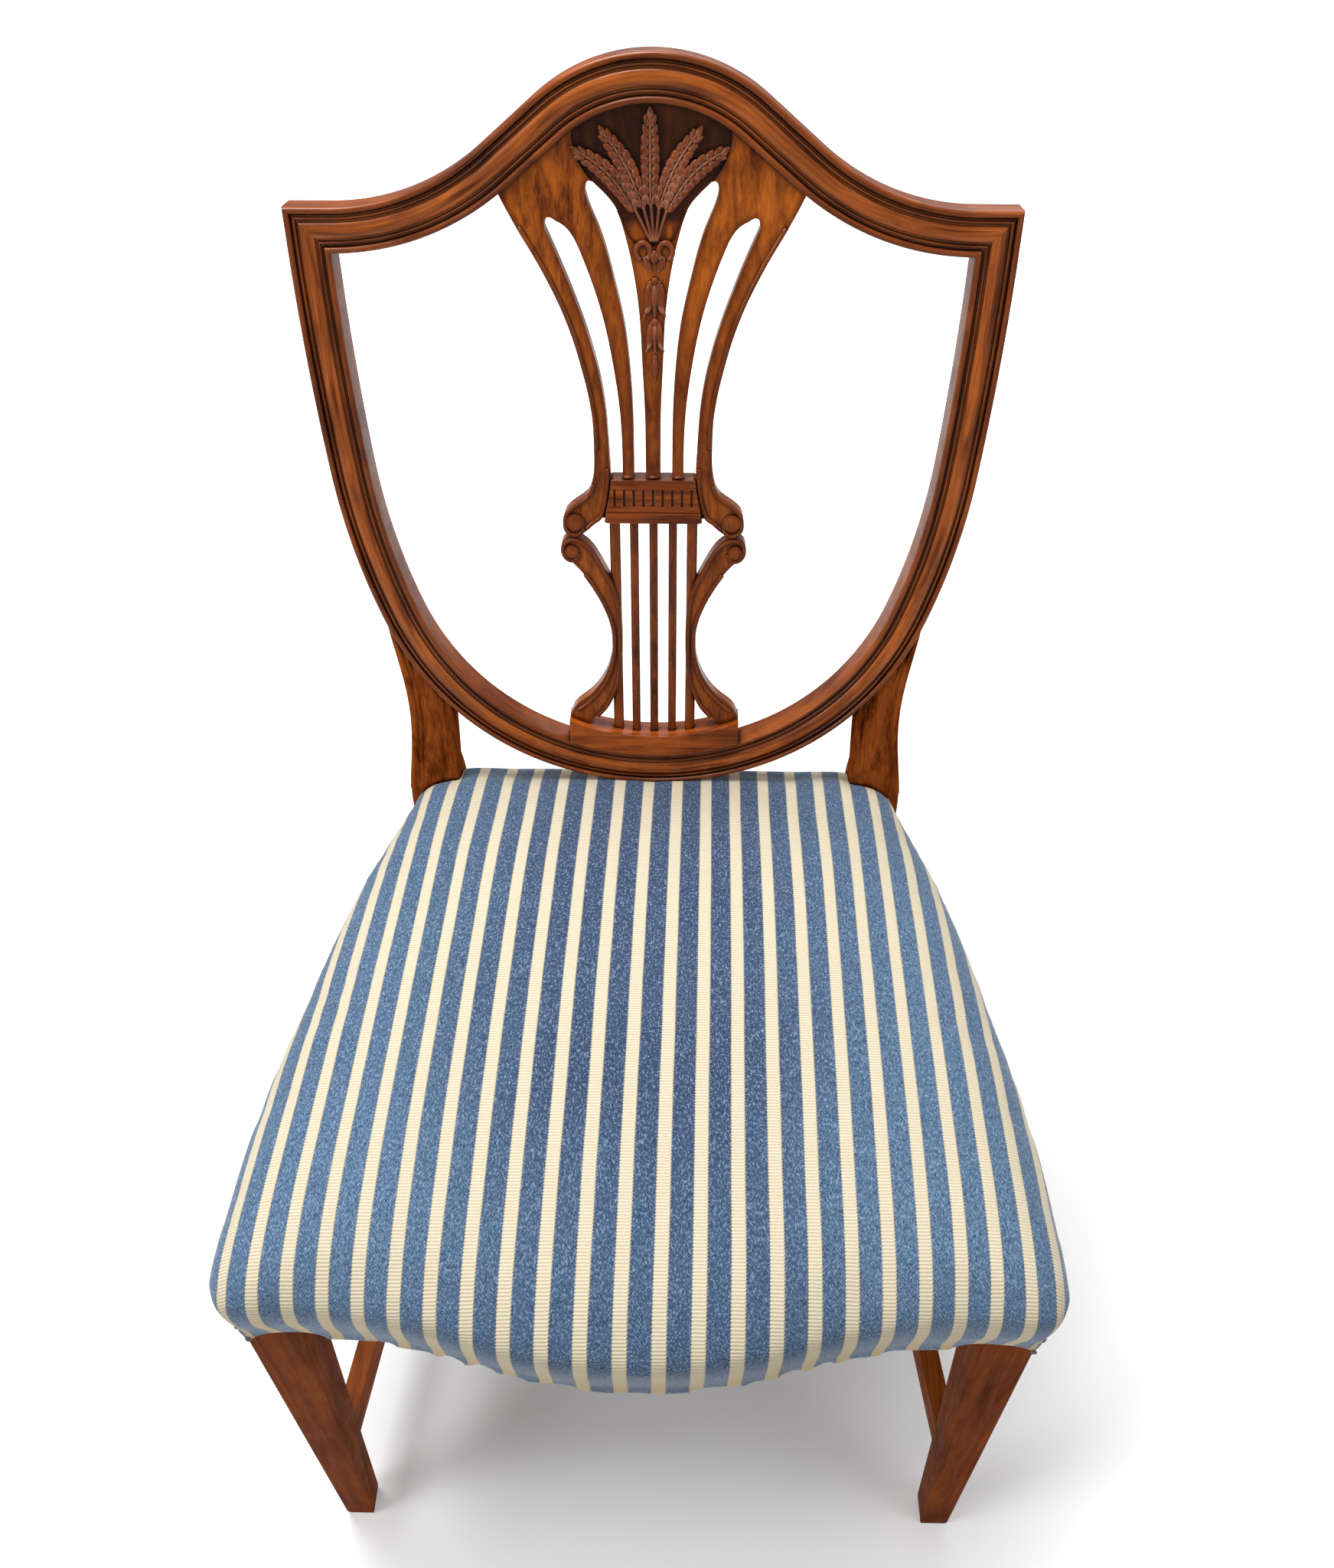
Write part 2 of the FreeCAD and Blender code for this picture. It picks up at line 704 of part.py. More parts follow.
def splat_tablet():
    """Fluted block across the splat, wider at its foot, with a band along it."""
    body = new_body("tablet_block")
    back = -tablet_set - tablet_depth
    half = [(tablet_half, tablet_top), (tablet_half + 1.7, tablet_low + 20), (tablet_half + 3.8, tablet_low + 10),
            (tablet_half + 5.6, tablet_low)]
    outline = new_sketch(body, "tablet_outline", lift=back)
    draw_polygon(outline, half + [(-x, y) for x, y in reversed(half)])
    pad(body, outline, tablet_depth, "tablet_pad")
    band = new_sketch(body, "band_outline", lift=-tablet_set)
    wide = tablet_half + 4.2
    draw_rectangle(band, (-wide, tablet_low), (wide, tablet_low + band_height))
    pad(body, band, band_proud, "band_pad")
    flutes = new_sketch(body, "flute_outlines", lift=-tablet_set)
    low = plain(tablet_low + band_height) + 5.0
    for k in range(-4, 5):
        x = plain(flute_pitch) * k
        r = plain(flute_width) / 2
        high = low + plain(flute_height)
        flutes.addGeometry(Part.LineSegment(Vector(x - r, low, 0), Vector(x + r, low, 0)))
        flutes.addGeometry(Part.LineSegment(Vector(x + r, low, 0), Vector(x + r, high, 0)))
        flutes.addGeometry(Part.Arc(Vector(x + r, high, 0), Vector(x, high + r, 0), Vector(x - r, high, 0)))
        flutes.addGeometry(Part.LineSegment(Vector(x - r, high, 0), Vector(x - r, low, 0)))
    pocket(body, flutes, flute_depth, "flute_cut")
    gap = glue_gap
    tools = rib_mortises(gap) + string_mortises("tablet_mortise", tablet_low - 1,
                                                 tablet_low + rib_housing + gap, gap)
    return finish(on_the_rake(cut("splat_tablet", body, tools)), "splat_tablet")


ARM_FAR = ((53.0, 0.8233), (45.05, 0.7488), (38.25, 0.6679), (33.85, 0.591), (32.15, 0.5124),
           (32.65, 0.4344), (36.35, 0.3398), (43.2, 0.2595), (52.65, 0.1945), (62.2, 0.146))
ARM_NEAR = ((43.75, 0.107), (36.4, 0.162), (30.8, 0.2341), (26.9, 0.3043), (25.2, 0.3742), (24.5, 0.4658),
            (24.5, 0.5556), (25.2, 0.6443), (26.6, 0.7093), (29.3, 0.763), (33.8, 0.8162), (39.1, 0.8789),
            (45.2, 0.9409), (53.0, 0.985))
ARM_SCROLL = ((53.0, 0.985), (60.0, 0.9975), (66.8, 0.9811), (69.0, 0.9456), (67.5, 0.9072), (62.0, 0.8824))


def arm_points(nodes):
    """Points of a lyre arm: reach, and share of the way from the shoe to the upper scroll."""
    return [(x, shoe_top + (contact - shoe_top) * y) for x, y in nodes]


def shoe_arc(reach):
    """Height of the bowed top of the shoe at a reach from the middle."""
    rise = plain(shoe_bow)
    half = plain(shoe_half)
    radius = (half * half + rise * rise) / (2 * rise)
    return plain(shoe_top) + radius - math.sqrt(radius * radius - reach * reach)


def lyre_string(label, middle, width):
    """A string with a rounded front, housed in the tablet and in the shoe."""
    body = new_body(label)
    low = shoe_top - rib_housing
    high = tablet_low + rib_housing
    section = new_sketch(body, label + "_section", "XZ_Plane", lift=-high)
    x, half = plain(middle), plain(width) / 2
    front, back = plain(string_front()), plain(string_front() - string_depth)
    edge = front - half / 2
    section.addGeometry(Part.LineSegment(Vector(x - half, edge, 0), Vector(x - half, back, 0)))
    section.addGeometry(Part.LineSegment(Vector(x - half, back, 0), Vector(x + half, back, 0)))
    section.addGeometry(Part.LineSegment(Vector(x + half, back, 0), Vector(x + half, edge, 0)))
    section.addGeometry(Part.Arc(Vector(x + half, edge, 0), Vector(x, front, 0), Vector(x - half, edge, 0)))
    pad(body, section, high - low, label + "_pad")
    return body


def lyre_arms():
    """Scrolled arms of the lower splat, each with the outer string worked on it."""
    body = new_body("arm_board")
    outer_foot, inner_foot = 66.9, 51.0
    clear = plain(glue_gap)
    feet = [(outer_foot, shoe_arc(outer_foot) + clear), (inner_foot, shoe_arc(inner_foot) + clear)]
    outline = new_sketch(body, "arm_outline", lift=splat_back)
    draw_runs(outline, [
        [arm_points(ARM_SCROLL)[-1]] + arm_points(ARM_FAR) + [feet[0]],
        feet,
        [feet[1]] + arm_points(ARM_NEAR),
        arm_points(ARM_SCROLL)])
    pad(body, outline, splat_depth, "arm_pad")
    boss = new_sketch(body, "arm_boss_outline", lift=splat_front)
    boss.addGeometry(Part.Circle(spot((60.9, contact - 11.6)), Vector(0, 0, 1), plain(lower_boss)))
    pad(body, boss, boss_proud, "arm_boss_pad")
    string = lyre_string("outer_string", string_pitch * 2, outer_string)
    right = combine("Part::MultiFuse", "right_lyre_arm", [body, string])
    finish(on_the_rake(right), "right_lyre_arm")
    finish(mirror(right, "left_lyre_arm"), "left_lyre_arm")


def lyre_strings():
    """The three free strings between the tablet and the shoe."""
    for k, side in ((-1, "left"), (0, "middle"), (1, "right")):
        finish(on_the_rake(lyre_string(side + "_lyre_string", string_pitch * k, string_width)),
               side + "_lyre_string")


def splat_shoe():
    """Bowed block that sits in the bottom of the shield and takes the lower splat."""
    body = new_body("shoe_block")
    half = plain(shoe_half)
    clear = plain(moulding_width) / 2 + plain(glue_gap)
    last = reach_share(base, clear, half)
    end = (half, base.beside(clear, last)[1])
    top = (half, shoe_arc(half))
    outline = new_sketch(body, "shoe_outline", lift=-shoe_depth + shoe_proud)
    draw_runs(outline, both_sides(base.edges(0.0, last, clear)) + [
        [end, top],
        Part.Arc(spot(top), spot((0, shoe_top)), spot((-half, top[1]))),
        [(-half, top[1]), (-half, end[1])]])
    pad(body, outline, shoe_depth, "shoe_pad")
    tools = string_mortises("shoe_mortise", shoe_top - rib_housing - glue_gap, shoe_top + 12, glue_gap)
    return finish(on_the_rake(cut("splat_shoe", body, tools)), "splat_shoe")


# Shield base rail and back posts

blanks = {}


def draw_band(sketch, centre):
    """Plain section as wide as the side moulding and deeper than the frame."""
    half = plain(moulding_width) / 2
    low, high = -plain(frame_depth) - 2, 2.0
    left, right = centre[0] - half, centre[0] + half
    corners = [(left, low), (right, low), (right, high), (left, high)]
    for k in range(4):
        sketch.addGeometry(line(corners[k], corners[(k + 1) % 4]))


def side_moulding(label, first, last):
    """Reeded member along part of the shield side."""
    return moulded_member(label, base, first, last,
                          lambda sketch, centre: draw_moulding(sketch, moulding_width, centre))


def base_tenon(label, room):
    """Tenon between base rail and post, along the shield side, or its mortise."""
    at, heading = base.place(joint_share)
    along = (math.cos(heading), math.sin(heading))
    body = new_body(label)
    middle = -frame_depth / 2
    outline = new_sketch(body, label + "_outline", lift=middle - tenon_thick / 2 - room)
    half = plain(tenon_length) / 2 + room
    low, high = -2.0, plain(tenon_length) - 2.0 + room
    corners = []
    for forward, aside in ((low, -half), (high, -half), (high, half), (low, half)):
        corners.append((at[0] + along[0] * forward - along[1] * aside,
                        at[1] + along[1] * forward + along[0] * aside))
    for k in range(4):
        outline.addGeometry(line(corners[k], corners[(k + 1) % 4]))
    pad(body, outline, tenon_thick + 2 * room, label + "_pad")
    return body


def shield_base_rail():
    """Lower rail of the shield, tenoned into both posts."""
    half = combine("Part::MultiFuse", "base_side", [side_moulding("base_half", 0.0, joint_share),
                                                    base_tenon("base_tenon", 0.0)])
    return finish(on_the_rake(mirrored_pair("shield_base_rail", half)), "shield_base_rail")


def post_foot():
    """Reeded foot of the post between seat and shield, drawn in at its waist."""
    body = new_body("post_foot")
    top_rise = 152.0
    levels = ((-6.0, post_inner + 1.0, post_outer + 1.0),
              (25.0, post_inner, post_outer - 3.0),
              (waist_rise, post_inner - 0.5, post_waist),
              (105.0, post_inner + 2.0, post_waist + 3.0),
              (top_rise, post_inner + 18.0, post_outer + 3.0))
    sections = []
    for k, (rise, inner, outer) in enumerate(levels):
        section = new_sketch(body, "foot_section_%d" % (k + 1), "XZ_Plane", lift=-rise)
        draw_moulding(section, outer - inner, ((inner + outer) / 2, -0.6))
        sections.append(section)
    loft(body, sections, "foot_loft")
    return body


def back_leg():
    """Back leg under the seat: swept back to the floor and tapered on its inner face."""
    body = new_body("back_leg")
    lean = math.tan(math.radians(plain(rake)))
    above = 20.0
    levels = ((seat_line + above, back_y + above * lean + 3.0, 18.0, post_inner + 2.0, post_outer - 3.0),
              (seat_line - 2.0, back_y + 2.0, post_depth - 4.0, post_inner, post_outer),
              (rail_low, back_y, post_depth, post_inner, post_outer),
              (rail_low * 0.62, back_y + foot_back * 0.13, post_depth - 1.5, post_inner + 4.0, post_outer),
              (rail_low * 0.3, back_y + foot_back * 0.47, post_depth - 4.0, post_inner + 9.0, post_outer),
              (rail_low * 0.0, back_y + foot_back, back_foot_side, post_outer - back_foot_side, post_outer))
    sections = []
    for k, (level, front, depth, inner, outer) in enumerate(levels):
        section = new_sketch(body, "leg_section_%d" % (k + 1), lift=level)
        draw_rectangle(section, (inner, front), (outer, front + depth))
        sections.append(section)
    loft(body, sections, "leg_loft")
    return body


def back_posts():
    """Back leg, foot and shield side, sawn from one piece, for each side of the chair."""
    band = moulded_member("shield_band", base, 0.0, 1.0, draw_band)
    foot = combine("Part::Cut", "foot_under_shield", [post_foot(), band])
    side = side_moulding("stile", joint_share, stile_share)
    upper = combine("Part::MultiFuse", "upper_post", [side, foot, stile_tenon("stile_tenon", 0.0)])
    upper = cut("upper_post_mortised", upper, [base_tenon("base_mortise", glue_gap.number)])
    whole = combine("Part::MultiFuse", "post_blank", [on_the_rake(upper), back_leg()])
    blanks["post"] = [whole, mirror(whole, "left_post_blank")]
    mortises = rail_tenons("post", glue_gap) + [side_stretcher_tenons(glue_gap)[1]]
    mortises.append(rear_stretcher_tenon("rear_mortise", glue_gap))
    right = cut("right_back_post", whole, mortises)
    finish(right, "right_back_post")
    finish(mirror(right, "left_back_post"), "left_back_post")


# Seat frame

leg_inner = leg_spread - leg_top_side
leg_back = front_y + leg_top_side
rail_face = 3.0                             # rails lie this far inside the legs' outer faces
rail_back_face = 8.0                        # and this far inside the outer faces of the posts
rail_middle = (rail_top + rail_low) / 2
rail_tenon = 34.0                           # height of a rail tenon
seat_into_post = 5.0                        # rails are drawn into the posts, then scribed to them
post_middle = back_y + post_depth / 2


def side_rail_edge(share, inset):
    """A point of the side rail's plan: share of its length, distance inside its outer face."""
    front = (leg_spread - rail_face - inset, leg_back)
    rear = (post_outer - rail_back_face - inset, back_y + seat_into_post)
    return (front[0] + (rear[0] - front[0]) * share, front[1] + (rear[1] - front[1]) * share)


def rail_tenons(where, room):
    """Tenons of the rails and stretchers that enter the right back post or the right front leg."""
    thick = tenon_thick
    low, high = rail_middle - rail_tenon / 2, rail_middle + rail_tenon / 2
    depth = tenon_length + (room if where != "rail" else 0)
    boxes = []
    if where in ("post", "side_rail"):
        x = post_outer - rail_back_face - rail_thick / 2
        boxes.append(block("side_rail_tenon_%s" % where,
                           (x - thick / 2 - room, back_y - 2, low - room),
                           (x + thick / 2 + room, back_y + depth, high + room)))
    if where in ("post", "back_rail"):
        y = back_y + rail_face + rail_thick / 2
        boxes.append(block("back_rail_tenon_%s" % where,
                           (post_inner - 2, y - thick / 2 - room, low - room),
                           (post_inner + depth, y + thick / 2 + room, high + room)))
    return boxes


def plan_piece(label, corners, low, high):
    """A board of straight edges in plan between two heights."""
    body = new_body(label)
    outline = new_sketch(body, label + "_plan", lift=low)
    draw_polygon(outline, corners)
    pad(body, outline, high - low, label + "_pad")
    return body


def side_rails():
    """Side rails, tenoned into front legs and posts."""
    drawn = new_body("side_rail_drawn")
    outline = new_sketch(drawn, "side_rail_plan", lift=rail_low)
    edge = [side_rail_edge(0, 0), side_rail_edge(0.5, -side_bow), side_rail_edge(1, 0)]
    inner = [side_rail_edge(1, rail_thick), side_rail_edge(0, rail_thick)]
    outline.addGeometry(Part.Arc(*[spot(p) for p in edge]))
    for a, b in ((edge[2], inner[0]), inner, (inner[1], edge[0])):
        outline.addGeometry(line(a, b))
    pad(drawn, outline, rail_top - rail_low, "side_rail_pad")
    board = combine("Part::Cut", "side_rail_board", [drawn, blanks["post"][0]])
    x = leg_spread - rail_face - rail_thick / 2
    low, high = rail_middle - rail_tenon / 2, rail_middle + rail_tenon / 2
    front = block("side_rail_front_tenon", (x - tenon_thick / 2, leg_back - tenon_length, low),
                  (x + tenon_thick / 2, leg_back + 2, high))
    right = combine("Part::MultiFuse", "right_seat_rail", [board, front] + rail_tenons("side_rail", 0.0))
    finish(right, "right_seat_rail")
    finish(mirror(right, "left_seat_rail"), "left_seat_rail")


def back_rail():
    """Back rail between the posts."""
    low = (-post_inner - seat_into_post, back_y + rail_face)
    high = (post_inner + seat_into_post, back_y + rail_face + rail_thick)
    drawn = plan_piece("back_rail_drawn", [low, (high[0], low[1]), high, (low[0], high[1])], rail_low, rail_top)
    board = cut("back_rail_board", drawn, blanks["post"])
    tenon = rail_tenons("back_rail", 0.0)
    return finish(combine("Part::MultiFuse", "back_seat_rail",
                          [board] + tenon + [mirror(tenon[0], "left_back_rail_tenon")]), "back_seat_rail")


SERPENTINE = ((1.0, 0.0), (0.82, 0.0), (0.62, 0.10), (0.44, 0.33), (0.22, 0.80), (0.0, 1.0))


def serpentine(inset, half, bow):
    """Front line of the seat from one leg to the other: a bow between two hollows."""
    right = [(plain(half) * x, plain(front_y) + plain(inset) - plain(bow) * y) for x, y in SERPENTINE]
    return [(-x, y) for x, y in right[:-1]] + list(reversed(right))


def front_rail():
    """Front rail, its face sawn to the serpentine, tenoned into the front legs."""
    body = new_body("front_rail_board")
    outline = new_sketch(body, "front_rail_plan", lift=rail_low)
    face = serpentine(rail_face, leg_inner, seat_bow)
    rear = plain(front_y + rail_face + rail_thick)
    draw_runs(outline, [face, [face[-1], (face[-1][0], rear)], [(face[-1][0], rear), (face[0][0], rear)],
                        [(face[0][0], rear), face[0]]])
    pad(body, outline, rail_top - rail_low, "front_rail_pad")
    tenon = front_tenon("front_rail_tenon", 0.0)
    return finish(combine("Part::MultiFuse", "front_seat_rail",
                          [body, tenon, mirror(tenon, "left_front_rail_tenon")]), "front_seat_rail")


def front_tenon(label, room):
    """Tenon of the front rail in the right front leg, or its mortise."""
    y = front_y + rail_face + rail_thick / 2
    low, high = rail_middle - rail_tenon / 2, rail_middle + rail_tenon / 2
    return block(label, (leg_inner - 2, y - tenon_thick / 2 - room, low - room),
                 (leg_inner + tenon_length + room - 2, y + tenon_thick / 2 + room, high + room))


def front_legs():
    """Front legs: upright outer faces, inner faces tapered from under the rails."""
    body = new_body("front_leg_blank")
    levels = ((0.0, leg_foot_side - 2.0, 1.0), (6.0, leg_foot_side, 0.0), (rail_low - 8.0, leg_top_side, 0.0),
              (rail_top, leg_top_side, 0.0))
    sections = []
    for k, (level, side, inset) in enumerate(levels):
        section = new_sketch(body, "front_leg_section_%d" % (k + 1), lift=level)
        draw_rectangle(section, (leg_spread - side - inset, front_y + inset), (leg_spread - inset, front_y + side + inset))
        sections.append(section)
    loft(body, sections, "front_leg_loft", ruled=True)
    x = leg_spread - rail_face - rail_thick / 2
    low, high = rail_middle - rail_tenon / 2, rail_middle + rail_tenon / 2
    blanks["leg"] = [body, mirror(body, "left_leg_blank")]
    side = block("leg_side_mortise", (x - tenon_thick / 2 - glue_gap, leg_back - tenon_length - glue_gap, low - glue_gap),
                 (x + tenon_thick / 2 + glue_gap, leg_back + 2, high + glue_gap))
    stretcher = side_stretcher_tenons(glue_gap)[0]
    right = cut("right_front_leg", body, [side, front_tenon("leg_front_mortise", glue_gap), stretcher])
    finish(right, "right_front_leg")
    finish(mirror(right, "left_front_leg"), "left_front_leg")


# Stretchers

def leg_face(level):
    """Back face of a front leg at a height."""
    taper = (leg_top_side - leg_foot_side) * (level / (rail_low - 8.0))
    return front_y + leg_foot_side + taper


def stretcher_ends():
    """Middle of the side stretcher where it meets the front leg and the back leg."""
    return (leg_spread - 16.0, leg_face(stretcher_top)), (post_outer - 14.0, back_y + foot_back * 0.42)


def side_stretcher_tenons(room):
    """Tenons of a side stretcher, at the front and at the back."""
    front, rear = stretcher_ends()
    half = stretcher_thick / 2 - 4.0 + room
    low = stretcher_top - stretcher_height + 4.0 - room
    high = stretcher_top - 4.0 + room
    reach = 10.0 + room
    word = "mortise" if plain(room) else "tenon"
    return [block("front_stretcher_" + word, (front[0] - half, front[1] - reach, low), (front[0] + half, front[1] + 3, high)),
            block("rear_stretcher_" + word, (rear[0] - half, rear[1] - 3, low), (rear[0] + half, rear[1] + reach, high))]


def side_stretchers():
    """Side stretchers, scribed to the legs and tenoned into them."""
    front, rear = stretcher_ends()
    half = stretcher_thick / 2
    into = 6.0
    plan = [(front[0] - half, front[1] - into), (front[0] + half, front[1] - into),
            (rear[0] + half, rear[1] + into), (rear[0] - half, rear[1] + into)]
    drawn = plan_piece("side_stretcher_drawn", plan, stretcher_top - stretcher_height, stretcher_top)
    board = cut("side_stretcher_board", drawn, [blanks["post"][0], blanks["leg"][0]])
    blanks["stretcher"] = [board, mirror(board, "left_stretcher_blank")]
    whole = combine("Part::MultiFuse", "side_stretcher_whole", [board] + side_stretcher_tenons(0.0))
    right = cut("right_side_stretcher", whole, [cross_tenon("cross_mortise", glue_gap)])
    finish(right, "right_side_stretcher")
    finish(mirror(right, "left_side_stretcher"), "left_side_stretcher")


def cross_reach():
    """Middle of the right side stretcher at the cross stretcher."""
    front, rear = stretcher_ends()
    return front[0] + (rear[0] - front[0]) * ((cross_y - front[1]) / (rear[1] - front[1]))


def cross_tenon(label, room):
    """Tenon of the cross stretcher in the right side stretcher, or its mortise."""
    half = stretcher_thick / 2 - 4.0 + room
    return block(label, (cross_reach() - 15.0, cross_y - half, stretcher_top - stretcher_height + 4.0 - room),
                 (cross_reach() + room, cross_y + half, stretcher_top - 4.0 + room))


def cross_stretcher():
    """Cross stretcher between the two side stretchers."""
    half = stretcher_thick / 2
    reach = cross_reach()
    plan = [(-reach, cross_y - half), (reach, cross_y - half), (reach, cross_y + half), (-reach, cross_y + half)]
    drawn = plan_piece("cross_stretcher_drawn", plan, stretcher_top - stretcher_height, stretcher_top)
    board = cut("cross_stretcher_board", drawn, blanks["stretcher"])
    tenon = cross_tenon("cross_tenon", 0.0)
    return finish(combine("Part::MultiFuse", "cross_stretcher",
                          [board, tenon, mirror(tenon, "left_cross_tenon")]), "cross_stretcher")


def rear_stretcher_place():
    """Front face of the rear stretcher and its lower edge."""
    return back_y + foot_back * 0.22 + 7.0, stretcher_top + 45.0


def rear_stretcher_tenon(label, room):
    """Tenon of the rear stretcher in the right post, or its mortise."""
    face, low = rear_stretcher_place()
    return block(label, (post_inner - 2, face + 4.0 - room, low + 4.0 - room),
                 (post_inner + 18.0 + room, face + stretcher_thick - 4.0 + room,
                  low + stretcher_height - 4.0 + room))


def rear_stretcher():
    """Rear stretcher between the back legs."""
    face, low = rear_stretcher_place()
    reach = post_inner + 12.0
    plan = [(-reach, face), (reach, face), (reach, face + stretcher_thick), (-reach, face + stretcher_thick)]
    drawn = plan_piece("rear_stretcher_drawn", plan, low, low + stretcher_height)
    board = cut("rear_stretcher_board", drawn, blanks["post"])
    tenon = rear_stretcher_tenon("rear_tenon", 0.0)
    return finish(combine("Part::MultiFuse", "rear_stretcher",
                          [board, tenon, mirror(tenon, "left_rear_tenon")]), "rear_stretcher")


# Corner blocks

def corner_blocks():
    """Glued blocks in the four inner corners of the seat frame."""
    low = rail_low + 4.0
    high = low + block_height
    front_face = front_y + rail_face + rail_thick
    side_front = leg_spread - rail_face - rail_thick
    rise = (back_y + seat_into_post - leg_back)
    slope = (post_outer - rail_back_face + rail_face - leg_spread) / rise
    front = plan_piece("front_block_drawn",
                       [(leg_inner - block_leg, front_face), (leg_inner, front_face), (leg_inner, leg_back),
                        (side_front, leg_back), (side_front + slope * block_leg, leg_back + block_leg)], low, high)
    finish(front, "right_front_corner_block")
    finish(mirror(front, "left_front_corner_block"), "left_front_corner_block")
    rear_face = back_y + rail_face
    reach = rear_face - leg_back
    side_rear = side_front + slope * reach
    rear = plan_piece("rear_block_drawn",
                      [(post_inner - block_leg, rear_face), (side_rear, rear_face),
                       (side_rear - slope * block_leg, rear_face - block_leg)], low, high)
    rear = combine("Part::Cut", "rear_block", [rear, blanks["post"][0]])
    finish(rear, "right_back_corner_block")
    finish(mirror(rear, "left_back_corner_block"), "left_back_corner_block")


# Upholstery

CROWN = (       # share of the height, front half width, half width at the posts, front set back, back
    (0.0, 259.4, 199.4, 10.2, 27.5),
    (0.36, 268.0, 199.8, 2.6, 27.5),
    (0.55, 270.8, 199.9, 0.0, 27.3),
    (0.64, 268.6, 197.0, 3.0, 14.0),
    (0.73, 261.4, 192.0, 12.0, -23.0),
    (0.81, 247.8, 181.0, 28.0, -59.0),
    (0.885, 222.0, 162.0, 55.0, -95.0),
    (0.945, 173.0, 126.0, 100.0, -140.0),
    (0.985, 97.0, 70.0, 160.0, -200.0),
    (1.0, 27.0, 19.5, 214.0, -257.0))
FULLEST = 2                                 # the ring where the seat is widest
INSIDE = (0, 2, 3, 5, 7, 9)                 # rings that the inner side of the cover follows
CORNERS = (5.0, 14.0, 22.0, 24.0)      # corner radii of the lower rings; the rest keep the last


def ring(step, inset, drop):
    """Height and plan sizes of one ring of the stuffed seat."""
    share, half, rear_half, set_back, rear = CROWN[step]
    wide = plain(cover_half) / CROWN[FULLEST][1]
    low = plain(rail_low) - 2.0
    height = low + (plain(crown_height) - low) * share - drop
    front = plain(front_y) - plain(cover_front) + set_back + inset
    back = plain(back_y) + rear - inset
    bow = plain(seat_bow) * (1.0 - 0.6 * max(0.0, share - 0.6) / 0.4)
    return height, half * wide - inset, rear_half * plain(post_outer) / 203.5 - inset, front, back, bow


def arc(a, b, c):
    """An arc through three points."""
    return Part.Arc(spot(a), spot(b), spot(c))


def draw_ring(sketch, half, rear_half, front, back, bow, corner):
    """Plan of the stuffed seat in lines and arcs: serpentine front, full sides, plain back."""
    depth = back - front
    radius = min(corner, half * 0.2)
    lead = half - radius
    turn = lead * 0.42
    rear_radius = radius * 0.3
    spread = half - rear_half

    def side(width_share, depth_share):
        return (rear_half + spread * width_share, front + depth * depth_share)

    end = (rear_half - spread * 0.12, back - rear_radius)
    right = [arc((0, front - bow), (turn * 0.55, front - bow * 0.87), (turn, front - bow * 0.5)),
             arc((turn, front - bow * 0.5), (lead * 0.66, front - bow * 0.09), (lead, front)),
             arc((lead, front), (lead + radius * 0.707, front + radius * 0.293), (half, front + radius)),
             arc((half, front + radius), side(0.93, 0.28), side(0.72, 0.485)),
             arc(side(0.72, 0.485), side(0.37, 0.745), end),
             arc(end, (end[0] - rear_radius * 0.293, back - rear_radius * 0.293), (end[0] - rear_radius, back))]
    rear_edge = line((end[0] - rear_radius, back), (rear_radius - end[0], back))
    for edge in right + [rear_edge] + [mirrored_edge(edge) for edge in reversed(right)]:
        sketch.addGeometry(edge)


def stuffed_form(body, word, steps, inset, drop, floor=None):
    """Ring sketches of the stuffed seat, one above another, the first at a floor where one is given."""
    sections = []
    for count, k in enumerate(steps):
        height, *plan = ring(k, inset, drop if k > FULLEST else 0.0)
        if floor is not None and count == 0:
            height = floor
        section = new_sketch(body, "%s_ring_%d" % (word, count + 1), lift=height)
        draw_ring(section, *plan, CORNERS[min(k, len(CORNERS) - 1)])
        sections.append(section)
    return sections


def post_notches(label, room):
    """Space left round the foot of each post."""
    right = block(label, (post_inner - room, back_y - room, rail_low - 20), (post_outer + 30, back_y + 60, crown_height))
    return [right, mirror(right, label + "_left")]


def leg_notches(label, room):
    """Space left round the top of each front leg."""
    right = block(label, (leg_inner - room, front_y - room, rail_low - 20),
                  (leg_spread + room, leg_back + room, rail_top + room))
    return [right, mirror(right, label + "_left")]


def seat_cover():
    """Cover drawn over the seat, round the rails and under them, fitted round posts and legs."""
    body = new_body("cover_form")
    steps = list(range(len(CROWN)))
    loft(body, stuffed_form(body, "outer", steps, 0.0, 0.0), "cover_loft", ruled=True)
    doc.recompute()
    inner = stuffed_form(body, "inner", INSIDE, plain(cover_thick), plain(cover_thick), plain(rail_low) - 0.4)
    hollow = body.newObject("PartDesign::SubtractiveLoft", "cover_hollow")
    hollow.Profile = inner[0]
    hollow.Sections = inner[1:]
    hollow.Ruled = True
    body.Tip = hollow
    opening = new_sketch(body, "cover_opening", lift=rail_low - 12)
    under = under_plan(cover_turn)
    draw_runs(opening, under)
    pocket(body, opening, 20.0, "opening_cut", reverse=True)
    tools = post_notches("cover_post_notch", post_room) + leg_notches("cover_leg_notch", soft_gap)
    return finish(cut("seat_cover", body, tools), "seat_cover")


